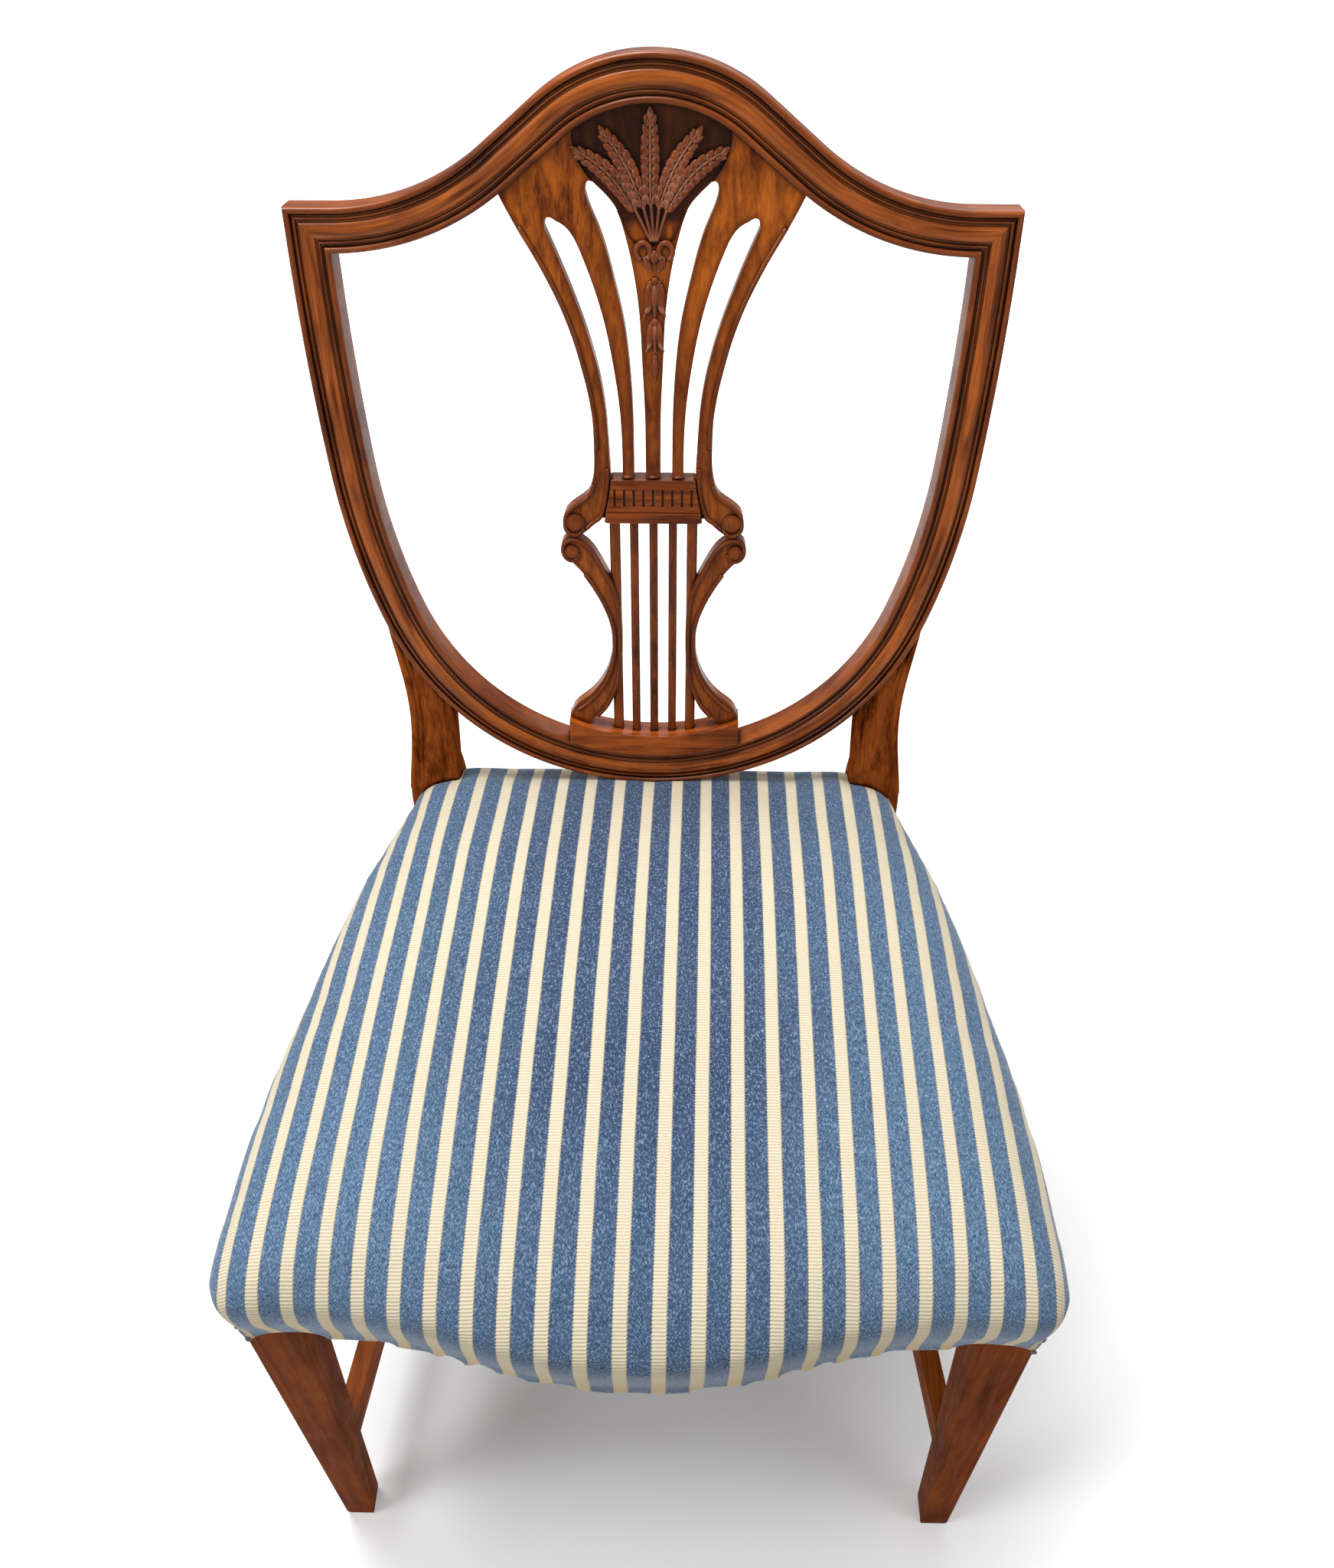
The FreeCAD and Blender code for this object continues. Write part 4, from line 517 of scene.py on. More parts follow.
def merged_copy(node: str) -> bmesh.types.BMesh:
    """Closed copy of a frame node's mesh."""
    copy = bmesh.new()
    copy.from_mesh(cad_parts[node].data)
    bmesh.ops.remove_doubles(copy, verts=copy.verts[:], dist=WELD)
    return copy


def applied(made: bpy.types.Object) -> None:
    """Apply every modifier of a piece."""
    graph = bpy.context.evaluated_depsgraph_get()
    fresh = bpy.data.meshes.new_from_object(made.evaluated_get(graph))
    made.modifiers.clear()
    old = made.data
    made.data = fresh
    bpy.data.meshes.remove(old)


def shaded_smooth(made: bpy.types.Object) -> None:
    """Shade every face of a piece smooth."""
    for face in made.data.polygons:
        face.use_smooth = True

def thickened(made: bpy.types.Object, thickness: float, offset: float) -> None:
    """Give a cloth its thickness, to the side that the offset names."""
    wall = made.modifiers.new("wall", "SOLIDIFY")
    wall.thickness = thickness
    wall.offset = offset

def add_tube(target: bmesh.types.BMesh, points: list[Vector], radius: float) -> None:
    """Add a round bead swept along a smooth line.

    Args:
        target: Mesh that it is added to.
        points: Places that it passes through, in metres.
        radius: Radius of the bead in metres.
    """
    data = bpy.data.curves.new("bead", "CURVE")
    data.dimensions = "3D"
    data.bevel_depth = radius
    data.bevel_resolution = 3
    data.use_fill_caps = True
    spline = data.splines.new("BEZIER")
    spline.bezier_points.add(len(points) - 1)
    spline.resolution_u = 8
    for knot, point in zip(spline.bezier_points, points):
        knot.co = point
        knot.handle_left_type = knot.handle_right_type = "AUTO"
    holder = bpy.data.objects.new("bead", data)
    bpy.context.scene.collection.objects.link(holder)
    bpy.context.view_layer.update()
    mesh = bpy.data.meshes.new_from_object(holder.evaluated_get(bpy.context.evaluated_depsgraph_get()))
    target.from_mesh(mesh)
    bpy.data.objects.remove(holder)
    bpy.data.curves.remove(data)
    bpy.data.meshes.remove(mesh)

@dataclass
class Joinery:
    """The wooden frame: its nodes keep their shape and take their finish."""

    arris: float = 0.0009
    smooth_angle: float = 32.0

    def polish(self, finishes: Finishes) -> None:
        """Give each wooden node its finish and softened edges."""
        plan = {
            finishes.across: ("crest_rail", "shield_base_rail", "splat_tablet", "splat_shoe"),
            finishes.upright: ("right_back_post", "left_back_post"),
            finishes.splat: ("splat_fan", "right_lyre_arm", "left_lyre_arm"),
            finishes.strings: ("left_lyre_string", "middle_lyre_string", "right_lyre_string"),
            finishes.legs: ("right_front_leg", "left_front_leg"),
            finishes.stretchers: ("right_side_stretcher", "left_side_stretcher"),
            finishes.frame_depth: ("right_seat_rail", "left_seat_rail", "right_front_corner_block",
                                   "left_front_corner_block", "right_back_corner_block", "left_back_corner_block"),
            finishes.frame_across: ("back_seat_rail", "front_seat_rail"),
            finishes.cross: ("cross_stretcher", "rear_stretcher"),
        }
        squared = ("leg", "stretcher", "block", "tablet")
        for material, names in plan.items():
            for name in names:
                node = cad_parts[name]
                self.soften(node, any(word in name for word in squared))
                self.paint(node, material)

    def paint(self, node: bpy.types.Object, material: bpy.types.Material) -> None:
        """Put one material on every slot of a node."""
        if not node.material_slots:
            node.data.materials.append(material)
        for place in node.material_slots:
            place.material = material
        log.info("%s takes %s", node.name, material.name)

    def soften(self, node: bpy.types.Object, squared: bool) -> None:
        """Shade curved faces smooth, and round the arrises of squared pieces."""
        shaded_smooth(node)
        weld = node.modifiers.new("weld", "WELD")
        weld.merge_threshold = WELD
        if squared:
            bevel = node.modifiers.new("arris", "BEVEL")
            bevel.width = self.arris
            bevel.segments = 2
            bevel.limit_method = "ANGLE"
            bevel.angle_limit = math.radians(40.0)
            even = node.modifiers.new("flat_faces", "WEIGHTED_NORMAL")
            even.weight = 100
            return
        split = node.modifiers.new("edges", "EDGE_SPLIT")
        split.split_angle = math.radians(self.smooth_angle)


@dataclass
class Carving:
    """Wheat ears, bow, husks and beads cut on the splat."""

    ear_width: float = 14.4
    grain_length: float = 7.8
    relief: float = 3.0
    rows: int = 9
    rib_middle: float = 1.6
    bow_middle: float = 1.4
    sides: int = 10
    rings: int = 8

    def leaf(self, target: bmesh.types.BMesh, at: Point, turn: float, size: tuple[float, float, float],
             proud: float, taper: float = 0.6) -> None:
        """Add one pointed form.

        Args:
            target: Mesh that it is added to.
            at: Place of its middle on the back.
            turn: Direction in which it points, in radians from straight up.
            size: Half width, half length and half thickness in millimetres.
            proud: Height of its middle before the reeds.
            taper: How much its point narrows.
        """
        place = Matrix.Translation(on_back(at[0], at[1], proud)) @ back_turn() @ Matrix.Rotation(-turn, 4, "Z")
        made = bmesh.ops.create_uvsphere(target, u_segments=self.sides, v_segments=self.rings, radius=1.0,
                                         matrix=Matrix.Rotation(math.pi / 2, 4, "X"))["verts"]
        width, length, height = size
        for vert in made:
            share = taper * (vert.co.y + 1.0) / 2.0
            grown = Vector((vert.co.x * width * (1.0 - share), vert.co.y * length,
                            vert.co.z * height * (1.0 - share * 0.7)))
            vert.co = place @ (grown * MM)

    def ear(self, target: bmesh.types.BMesh, foot: Point, tip: Point, bend: float) -> None:
        """Add an ear of wheat.

        Args:
            target: Mesh that it is added to.
            foot: Where its lowest grain starts.
            tip: Where it ends.
            bend: How far its middle is pushed aside.
        """
        run = Vector((tip[0] - foot[0], tip[1] - foot[1]))
        length = run.length
        side = Vector((run.y, -run.x)).normalized()
        for row in range(self.rows):
            share = (row + 0.35) / self.rows
            middle = Vector(foot) + run * share + side * bend * math.sin(math.pi * share)
            lean = math.atan2(run.x, run.y) + bend / length * math.pi * math.cos(math.pi * share)
            full = 0.36 + 0.68 * math.sin(math.pi * min(share * 0.80 + 0.12, 1.0))
            for hand in (-1, 1):
                aside = Vector((math.cos(lean), -math.sin(lean))) * hand * self.ear_width * 0.235 * full
                place = middle + aside
                self.leaf(target, tuple(place), lean + hand * 0.38,
                          (3.5 * full, self.grain_length / 2, 2.2), GROUND_FRONT + self.relief * 0.85, 0.35)
            self.leaf(target, tuple(middle + run.normalized() * 1.6), lean, (1.3 * full, 3.6, 1.4),
                      GROUND_FRONT + self.relief * 1.15)
            self.leaf(target, tuple(middle), lean, (6.0 * full, 5.2, 2.4), GROUND_FRONT + 0.8, 0.1)
        self.leaf(target, tip, math.atan2(run.x, run.y), (3.0, 4.4, 1.9), GROUND_FRONT + self.relief * 0.75, 0.45)

    def ears(self) -> bmesh.types.BMesh:
        """The sheaf of five ears with its stalks."""
        made = bmesh.new()
        for foot, tip, bend in (((-1.0, 448.0), (-1.0, 498.0), 0.0),
                                ((-6.6, 446.5), (-31.0, 488.0), 2.6), ((5.0, 446.5), (29.5, 488.0), -2.6),
                                ((-12.4, 444.0), (-48.0, 477.0), 4.2), ((10.6, 444.0), (46.0, 477.0), -4.2)):
            self.ear(made, foot, tip, bend)
            self.stalk(made, foot)
        return made

    def stalk(self, target: bmesh.types.BMesh, foot: Point) -> None:
        """Add the stalk that runs from the foot of an ear to the bow."""
        knot = (1.2 + (foot[0] + 1.0) * 0.17, 424.0)
        points = [on_back(foot[0] + (knot[0] - foot[0]) * share, foot[1] + 2.0 + (knot[1] - foot[1] - 2.0) * share,
                          SPLAT_FRONT - 0.2 * (1.0 - share)) for share in (0.0, 0.35, 0.7, 1.0)]
        add_tube(target, points, 1.0 * MM)

    def bow(self) -> bmesh.types.BMesh:
        """The knotted ribbon under the stalks."""
        made = bmesh.new()
        for hand in (-1, 1):
            loop = []
            for step in range(9):
                angle = math.radians(-60 + 36 * step) if hand > 0 else math.radians(240 - 36 * step)
                loop.append(on_back(self.bow_middle + hand * 7.4 + 4.6 * math.cos(angle),
                                    417.6 + 5.6 * math.sin(angle), SPLAT_FRONT + 0.8))
            add_tube(made, loop, 1.75 * MM)
            self.leaf(made, (self.bow_middle + hand * 4.4, 410.0), math.pi + hand * 0.35, (3.0, 5.4, 1.5),
                      SPLAT_FRONT + 0.4, 0.3)
        self.leaf(made, (self.bow_middle, 414.5), 0.0, (3.3, 4.2, 2.2), SPLAT_FRONT + 0.8, 0.2)
        return made

    def husk(self, target: bmesh.types.BMesh, top: float, low: float, width: float) -> None:
        """Add a husk of three petals that hangs from a bead."""
        length = top - low
        middle = self.rib_middle
        for hand in (-1, 1):
            self.leaf(target, (middle + hand * width * 0.27, top - length * 0.42), math.pi - hand * 0.10,
                      (width * 0.27, length * 0.46, 2.3), SPLAT_FRONT + 0.5, 0.05)
            self.leaf(target, (middle + hand * width * 0.40, low + length * 0.17), math.pi - hand * 0.55,
                      (width * 0.16, length * 0.20, 1.7), SPLAT_FRONT + 0.9, 0.6)
        self.leaf(target, (middle, top - length * 0.52), math.pi, (width * 0.20, length * 0.48, 2.4),
                  SPLAT_FRONT + 1.2, 0.45)
        self.leaf(target, (middle, top + 0.6), 0.0, (2.4, 2.4, 2.2), SPLAT_FRONT + 0.8, 0.0)

    def husks(self) -> bmesh.types.BMesh:
        """Three husks and a drop down the middle rib."""
        made = bmesh.new()
        self.husk(made, 399.0, 376.0, 13.6)
        self.husk(made, 373.0, 353.0, 11.2)
        self.leaf(made, (self.rib_middle, 349.8), 0.0, (1.9, 1.9, 1.6), SPLAT_FRONT + 0.3, 0.0)
        self.leaf(made, (self.rib_middle, 341.0), math.pi, (3.1, 8.4, 2.4), SPLAT_FRONT + 0.3, 0.65)
        return made

    def beads(self) -> bmesh.types.BMesh:
        """Small beads where the ribs stand on the tablet."""
        made = bmesh.new()
        for across in (-18.3, 0.0, 18.3):
            self.leaf(made, (across, TABLET_TOP + 1.2), 0.0, (4.6, 1.8, 3.2), SPLAT_FRONT - 1.8, 0.0)
        return made

    def build(self, finishes: Finishes) -> None:
        """Cut the carving."""
        for name, made in (("wheat_ears", self.ears()), ("ribbon_bow", self.bow()), ("husks", self.husks()),
                           ("rib_beads", self.beads())):
            mesh_piece(name, made, finishes.carving)


class Trail:
    """Arcs and straights laid end to end on the raked back, with the places passed on the way."""

    def __init__(self, start: Point, heading: float = 0.0) -> None:
        """Start at a place, in a direction."""
        self.at = Vector(start)
        self.heading = heading
        self.passed = [(self.at.copy(), heading)]

    def straight(self, length: float) -> "Trail":
        """Go straight on."""
        self.at = self.at + Vector((math.cos(self.heading), math.sin(self.heading))) * length
        self.passed.append((self.at.copy(), self.heading))
        return self

    def arc_to(self, point: Point, step: float = 5.0) -> "Trail":
        """Turn evenly until a point is reached, noting a place at every step."""
        start, run = self.at.copy(), Vector(point) - self.at
        half = math.atan2(run.y, run.x) - self.heading
        count = max(2, round(run.length / step))
        for index in range(1, count + 1):
            turn = half * index / count
            chord = run.length * math.sin(turn) / math.sin(half)
            along = self.heading + turn
            self.passed.append((start + Vector((math.cos(along), math.sin(along))) * chord, self.heading + 2 * turn))
        self.at = Vector(point)
        self.heading += 2 * half
        return self


@dataclass
class ShieldMoulding:
    """Reeded face of the shield frame, swept round its outline and mitred at the top corners.

    Attributes:
        half_width: Half the width of the moulding.
        back: Its back face, behind the reeds.
        corner: Half width and height of the shield at its top corners.
        crown: Height of the middle line at the top.
        base: Its height at the bottom.
        arch: Radius of the arch of the crest.
        hollow: Radius of the hollows beside it.
        mitre: How far inside the corner the crest's curve ends.
        side_nodes: Points of base and side, as shares of the corner.
        reeds: Middle, half width, foot, rise and steps of each reed.
        groove: Floor of the grooves.
        band: Half width, foot and rise of the middle band.
    """

    half_width: float = 14.25
    back: float = -22.1
    corner: Point = (225.0, 430.0)
    crown: float = 518.5
    base: float = 18.0
    arch: float = 106.0
    hollow: float = 178.0
    mitre: float = 14.1
    side_nodes: tuple[Point, ...] = ((0.3712, 0.0412), (0.7316, 0.1962), (0.8588, 0.3265), (0.9697, 0.6068),
                                     (1.0, 1.0))
    reeds: tuple[tuple[float, float, float, float, int], ...] = ((12.0, 2.25, -1.9, 2.9, 10),
                                                                 (7.35, 0.95, -1.4, 1.35, 6))
    groove: float = -1.62
    band: tuple[float, float, float] = (5.0, -1.35, 2.5)

    def section(self) -> list[Point]:
        """Closed section: distance outwards and distance in front of the reeds."""
        half = [(self.half_width, self.back)]
        for middle, reach, low, rise, steps in self.reeds:
            for index in range(steps + 1):
                turn = math.pi * index / steps
                half.append((middle + reach * math.cos(turn), low + rise * math.sin(turn)))
            half.append((middle - reach - 0.25, self.groove))
        reach, low, rise = self.band
        for index in range(9):
            turn = math.pi / 2 * index / 8
            half.append((reach * math.cos(turn) ** 0.9, low + rise * math.sin(turn)))
        return half + [(-x, y) for x, y in reversed(half[:-1])]

    def crest(self) -> list[tuple[Vector, Vector]]:
        """Right half of the crest: places and outward directions."""
        reach, rise = self.corner[0] - self.mitre, self.crown - self.corner[1]
        both = self.arch + self.hollow
        straight = math.sqrt(reach * reach + rise * rise - 2 * both * rise)
        turn = math.atan2(reach, both - rise) - math.atan2(straight, both)
        trail = Trail((0.0, self.crown))
        trail.arc_to((self.arch * math.sin(turn), self.crown - self.arch * (1 - math.cos(turn))))
        trail.straight(straight).arc_to((reach, self.corner[1]))
        return [(at, Vector((-math.sin(way), math.cos(way)))) for at, way in trail.passed]

    def side(self) -> list[tuple[Vector, Vector]]:
        """Right half of base and side, from the bottom to the corner."""
        trail = Trail((0.0, self.base))
        for x, y in self.side_nodes:
            trail.arc_to((self.corner[0] * x, self.base + (self.corner[1] - self.base) * y))
        return [(at, Vector((math.sin(way), -math.cos(way)))) for at, way in trail.passed]

    def mitred(self, half: list[tuple[Vector, Vector]], out: Vector) -> list[tuple[Vector, Vector]]:
        """Cut a half off before the corner, end it in the mitre and add its mirror image."""
        corner = Vector(self.corner)
        kept = [(at, way) for at, way in half if (at - corner).length > self.half_width + 1.0]
        right = kept + [(corner, out)]
        left = [(Vector((-at.x, at.y)), Vector((-way.x, way.y))) for at, way in reversed(right[1:])]
        return left + right

    def sweep(self, name: str, places: list[tuple[Vector, Vector]], finishes: Finishes) -> bpy.types.Object:
        """Push the section along a line of places."""
        section = self.section()
        form = bmesh.new()
        index_of = form.verts.layers.int.new("corner")
        run_of = form.verts.layers.float.new("run")
        aside_of = form.verts.layers.float.new("aside")
        ring = [form.verts.new((0.0, 0.0, 0.0)) for _ in section]
        for index, vert in enumerate(ring):
            vert[index_of] = index
            vert[aside_of] = (section[index][0] - math.copysign(section[index][1] * 0.3, section[index][0])) * MM
        edges = [form.edges.new((ring[index], ring[(index + 1) % len(ring)])) for index in range(len(ring))]
        travelled, before = 0.0, places[0][0]
        for number, (at, out) in enumerate(places):
            if number:
                grown = bmesh.ops.extrude_edge_only(form, edges=edges)["geom"]
                ring = [part for part in grown if isinstance(part, bmesh.types.BMVert)]
                edges = [part for part in grown if isinstance(part, bmesh.types.BMEdge)
                         and part.verts[0] in set(ring) and part.verts[1] in set(ring)]
            travelled += (at - before).length
            before = at
            for vert in ring:
                aside, proud = section[vert[index_of]]
                vert.co = on_back(at.x + out.x * aside, at.y + out.y * aside, proud)
                vert[run_of] = travelled * MM
        open_edges = [edge for edge in form.edges if edge.is_boundary]
        bmesh.ops.holes_fill(form, edges=open_edges, sides=0)
        bmesh.ops.recalc_face_normals(form, faces=form.faces[:])
        made = mesh_piece(name, form, finishes.swept)
        split = made.modifiers.new("edges", "EDGE_SPLIT")
        split.split_angle = math.radians(42.0)
        return made

    def build(self, finishes: Finishes) -> None:
        """Make the crest and the sides with the base."""
        crest, side = self.crest(), self.side()
        up, out = Vector((0.0, 1.0)), side[-1][1]
        mitre = (up + out) / (1.0 + up.dot(out))
        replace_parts(self.sweep("reeded_crest", self.mitred(crest, mitre), finishes), "crest_rail")
        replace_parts(self.sweep("reeded_sides", self.mitred(side, mitre), finishes), "shield_base_rail")


@dataclass
class EdgeBeads:
    """Raised beads along the borders of ribs, scrolls and lyre arms.

    Lines are given by their distance from the middle of the chair and their height: above the
    tablet's underside for the scrolls, as a share of the way up for fan and arms.
    """

    radius: float = 1.75
    inset: float = 1.6
    shoe_top: float = 46.0
    contact: float = 218.0
    crest_inner: float = 504.4
    seam_radius: float = 1.4
    seam_depths: tuple[float, ...] = (-6.4, -9.0, -11.6)
    seam: tuple[Point, ...] = ((30.7, 33.5), (30.7, 30.7), (32.2, 20.0), (34.3, 10.0), (36.9, 2.2))
    scroll_far: tuple[Point, ...] = (
        (44.6, 28.0), (47.9, 20.8), (53.6, 15.9), (60.2, 11.2), (65.0, 5.7), (66.5, -0.7), (65.4, -8.4),
        (60.2, -12.3), (52.9, -10.6), (50.2, -4.6), (51.4, 2.0), (55.2, 5.4))
    scroll_near: tuple[Point, ...] = (
        (31.5, 40.0), (31.2, 30.7), (32.5, 20.0), (34.6, 10.0), (38.15, 1.6), (43.3, -2.4), (48.3, -7.0))
    arm_far: tuple[Point, ...] = (
        (62.2, 0.146), (52.65, 0.1945), (43.2, 0.2595), (36.35, 0.3398), (32.65, 0.4344), (32.15, 0.5124),
        (33.85, 0.591), (38.25, 0.6679), (45.05, 0.7488), (53.0, 0.8233))
    arm_near: tuple[Point, ...] = (
        (43.75, 0.107), (36.4, 0.162), (30.8, 0.2341), (26.9, 0.3043), (25.2, 0.3742), (24.9, 0.4658),
        (24.9, 0.5556), (25.4, 0.6443), (26.8, 0.7093), (29.3, 0.763), (33.8, 0.8162), (39.1, 0.8789),
        (45.2, 0.9409), (53.0, 0.985), (60.0, 0.9975), (66.8, 0.9811), (69.0, 0.9456), (67.5, 0.9072),
        (62.5, 0.885), (56.5, 0.893), (54.2, 0.925))
    fan_outer: tuple[Point, ...] = (
        (88.5, 0.699), (72.2, 0.581), (58.8, 0.459), (49.5, 0.332), (43.2, 0.2), (41.5, 0.09))

    def raised(self, nodes: tuple[Point, ...]) -> list[Point]:
        """Places from their heights above the tablet's underside."""
        return [(x, TABLET_LOW + y) for x, y in nodes]

    def between(self, nodes: tuple[Point, ...], low: float, high: float) -> list[Point]:
        """Places from their shares of the way from a low to a high point."""
        return [(x, low + (high - low) * share) for x, share in nodes]

    def border(self, target: bmesh.types.BMesh, nodes: list[Point], hand: int, inward: int) -> None:
        """Add a bead beside a border.

        Args:
            target: Mesh that it is added to.
            nodes: Places along the border.
            hand: 1 for the right half of the chair, -1 for the left.
            inward: Side of the line on which the wood lies.
        """
        points = []
        for index, (x, y) in enumerate(nodes):
            before, after = nodes[max(index - 1, 0)], nodes[min(index + 1, len(nodes) - 1)]
            run = Vector((after[0] - before[0], after[1] - before[1])).normalized()
            side = Vector((-run.y, run.x)) * inward * self.inset
            points.append(on_back(hand * (x + side.x), y + side.y, SPLAT_FRONT + self.radius * 0.1))
        add_tube(target, points, self.radius * MM)

    def build(self, finishes: Finishes) -> None:
        """Lay every bead."""
        lines = ((self.raised(self.scroll_far), -1), (self.raised(self.scroll_near), 1),
                 (self.between(self.arm_far, self.shoe_top, self.contact), 1),
                 (self.between(self.arm_near, self.shoe_top, self.contact), -1),
                 (self.between(self.fan_outer, TABLET_TOP, self.crest_inner), -1))
        made = bmesh.new()
        for hand in (-1, 1):
            for nodes, inward in lines:
                self.border(made, nodes, hand, inward)
            for depth in self.seam_depths:
                add_tube(made, [on_back(hand * x, y, depth) for x, y in self.raised(self.seam)],
                         self.seam_radius * MM)
        mesh_piece("splat_edge_beads", made, finishes.splat)

@dataclass
class Seat:
    """Stuffed seat: striped cover, stuffing, hessian, webs and dust cover.

    Attributes:
        voxel: Size of the even mesh that the cloth swells on.
        calm: How many times that mesh is smoothed.
        pressure: Pressure of the stuffing on the cloth.
        swell: The most that a point may move.
        thick: Thickness of the cover.
        fringe: How far the cover reaches in under the rails.
        leg_low: Smallest X and Y of the right front leg under the cover.
        leg_high: Its largest X and Y.
        scallop: Depth of the pull at a tack.
        scallop_pitch: Distance between two tacks.
        side_pull: How much the stripes close up towards the sides.
        fuller: How far the sides are filled out after the smoothing.
        back_face: Y of the cover behind the back rail.
    """

    voxel: float = 0.005
    calm: int = 14
    pressure: float = 4.0
    swell: float = 0.0045
    thick: float = 0.0016
    fringe: float = 0.0085
    leg_low: Point = (0.2194, -0.2666)
    leg_high: Point = (0.2568, -0.2290)
    scallop: float = 0.0007
    scallop_pitch: float = 0.031
    side_pull: float = 0.75
    fuller: float = 0.0030
    back_face: float = 0.2028

    def __post_init__(self) -> None:
        """Look up the cover of the frame."""
        self.low, self.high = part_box("seat_cover")
        self.shell = BVHTree.FromBMesh(merged_copy("seat_cover"))

    def wrapped(self) -> bpy.types.Object:
        """Closed form wrapped round the outside of the frame's cover."""
        form = bmesh.new()
        bmesh.ops.create_cube(form, size=1.0)
        middle = (self.low + self.high) / 2
        span = self.high - self.low + Vector((0.04, 0.04, 0.04))
        bmesh.ops.scale(form, vec=span, verts=form.verts[:])
        bmesh.ops.translate(form, vec=middle, verts=form.verts[:])
        bmesh.ops.subdivide_edges(form, edges=form.edges[:], cuts=63, use_grid_fill=True)
        core_low = Vector((-0.13, -0.19, self.low.z + 0.014))
        core_high = Vector((0.13, 0.12, self.low.z + 0.034))
        for vert in form.verts:
            core = Vector(max(low, min(high, part)) for part, low, high in zip(vert.co, core_low, core_high))
            run = core - vert.co
            hit = self.shell.ray_cast(vert.co, run, run.length)[0]
            beneath = vert.co.z < self.low.z and (vert.co.y < 0.165 or abs(vert.co.x) < 0.155)
            if not hit and not beneath:
                hit = self.shell.find_nearest(vert.co)[0]
            vert.co = hit if hit else Vector((vert.co.x, vert.co.y, self.low.z + 0.0004))
        bmesh.ops.recalc_face_normals(form, faces=form.faces[:])
        return as_object("striped_seat_cover", form)

    def remeshed(self, made: bpy.types.Object, voxel: float, calm: int) -> None:
        """Give a form an even mesh, smoothed a number of times."""
        remesh = made.modifiers.new("even", "REMESH")
        remesh.mode = "VOXEL"
        remesh.voxel_size = voxel
        applied(made)
        smooth = made.modifiers.new("calm", "SMOOTH")
        smooth.iterations = calm
        smooth.factor = 0.5
        applied(made)

    def inflated(self, made: bpy.types.Object) -> None:
        """Let the cloth swell over its stuffing, held to a small movement."""
        before = self.coordinates(made)
        cloth = made.modifiers.new("cloth", "CLOTH")
        cloth.settings.quality = 6
        cloth.settings.use_pressure = True
        cloth.settings.uniform_pressure_force = self.pressure
        cloth.settings.effector_weights.gravity = 0.0
        cloth.settings.tension_stiffness = 20.0
        cloth.settings.compression_stiffness = 8.0
        cloth.settings.bending_stiffness = 1.5
        scene = bpy.context.scene
        for step in range(1, 21):
            scene.frame_set(step)
        applied(made)
        scene.frame_set(1)
        after = self.coordinates(made)
        moved = after - before
        reach = np.linalg.norm(moved, axis=1, keepdims=True)
        share = np.minimum(1.0, self.swell / np.maximum(reach, 1e-9))
        places = before + moved * share
        places[:, 2] = np.clip(places[:, 2], self.low.z, self.high.z + 0.006)
        self.place(made, places)

    def coordinates(self, made: bpy.types.Object) -> np.ndarray:
        """Places of a piece's vertices."""
        flat = np.zeros(len(made.data.vertices) * 3)
        made.data.vertices.foreach_get("co", flat)
        return flat.reshape(-1, 3)

    def place(self, made: bpy.types.Object, places: np.ndarray) -> None:
        """Put a piece's vertices at new places."""
        made.data.vertices.foreach_set("co", places.astype(np.float32).ravel())
        made.data.update()

    def refined(self, made: bpy.types.Object) -> None:
        """Divide the swollen mesh once, so that folds and scallops can be cut."""
        finer = made.modifiers.new("finer", "SUBSURF")
        finer.levels = finer.render_levels = 1
        applied(made)

    def tacked(self, made: bpy.types.Object) -> None:
        """Pull the lower edge in at its tacks, crease the corners, and fill out sides and back."""
        places = self.coordinates(made)
        x, y, z = places.T
        out = np.stack([x, y + 0.03], axis=1)
        out /= np.maximum(np.linalg.norm(out, axis=1, keepdims=True), 1e-9)
        around = np.where(np.abs(out[:, 0]) > np.abs(out[:, 1]), y, x)
        near = np.clip((0.412 - z) / 0.024, 0.0, 1.0)
        pull = self.scallop * near * (0.5 + 0.5 * np.cos(2 * np.pi * around / self.scallop_pitch))
        corner = np.abs(np.abs(x) - 0.2620 - (y + 0.268) * 0.9)
        crease = 0.0022 * np.exp(-(corner / 0.0045) ** 2) * np.clip((0.452 - z) / 0.05, 0.0, 1.0) * (y < -0.20)
        full = self.fuller * np.clip((0.474 - z) / 0.03, 0.0, 1.0) * np.clip((0.15 - y) / 0.08, 0.0, 1.0)
        places[:, :2] -= out * (pull + crease - full)[:, None]
        behind = np.clip((y - 0.188) / 0.006, 0.0, 1.0) * np.clip((0.450 - z) / 0.012, 0.0, 1.0)
        places[:, 1] += behind * (self.back_face - places[:, 1])
        self.place(made, places)

    def opened(self, made: bpy.types.Object) -> None:
        """Take away the underside where the frame's cover has none."""
        form = bmesh.new()
        form.from_mesh(made.data)
        gone = []
        for face in form.faces:
            centre = face.calc_center_median()
            if centre.z > self.low.z + 0.010:
                continue
            near = self.shell.find_nearest(Vector((centre.x, centre.y, self.low.z + 0.001)))
            in_leg = (self.leg_low[0] < abs(centre.x) < self.leg_high[0]
                      and self.leg_low[1] < centre.y < self.leg_high[1])
            if near[3] > self.fringe or in_leg:
                gone.append(face)
        bmesh.ops.delete(form, geom=gone, context="FACES")
        loose = [vert for vert in form.verts if not vert.link_faces]
        bmesh.ops.delete(form, geom=loose, context="VERTS")
        form.to_mesh(made.data)
        form.free()

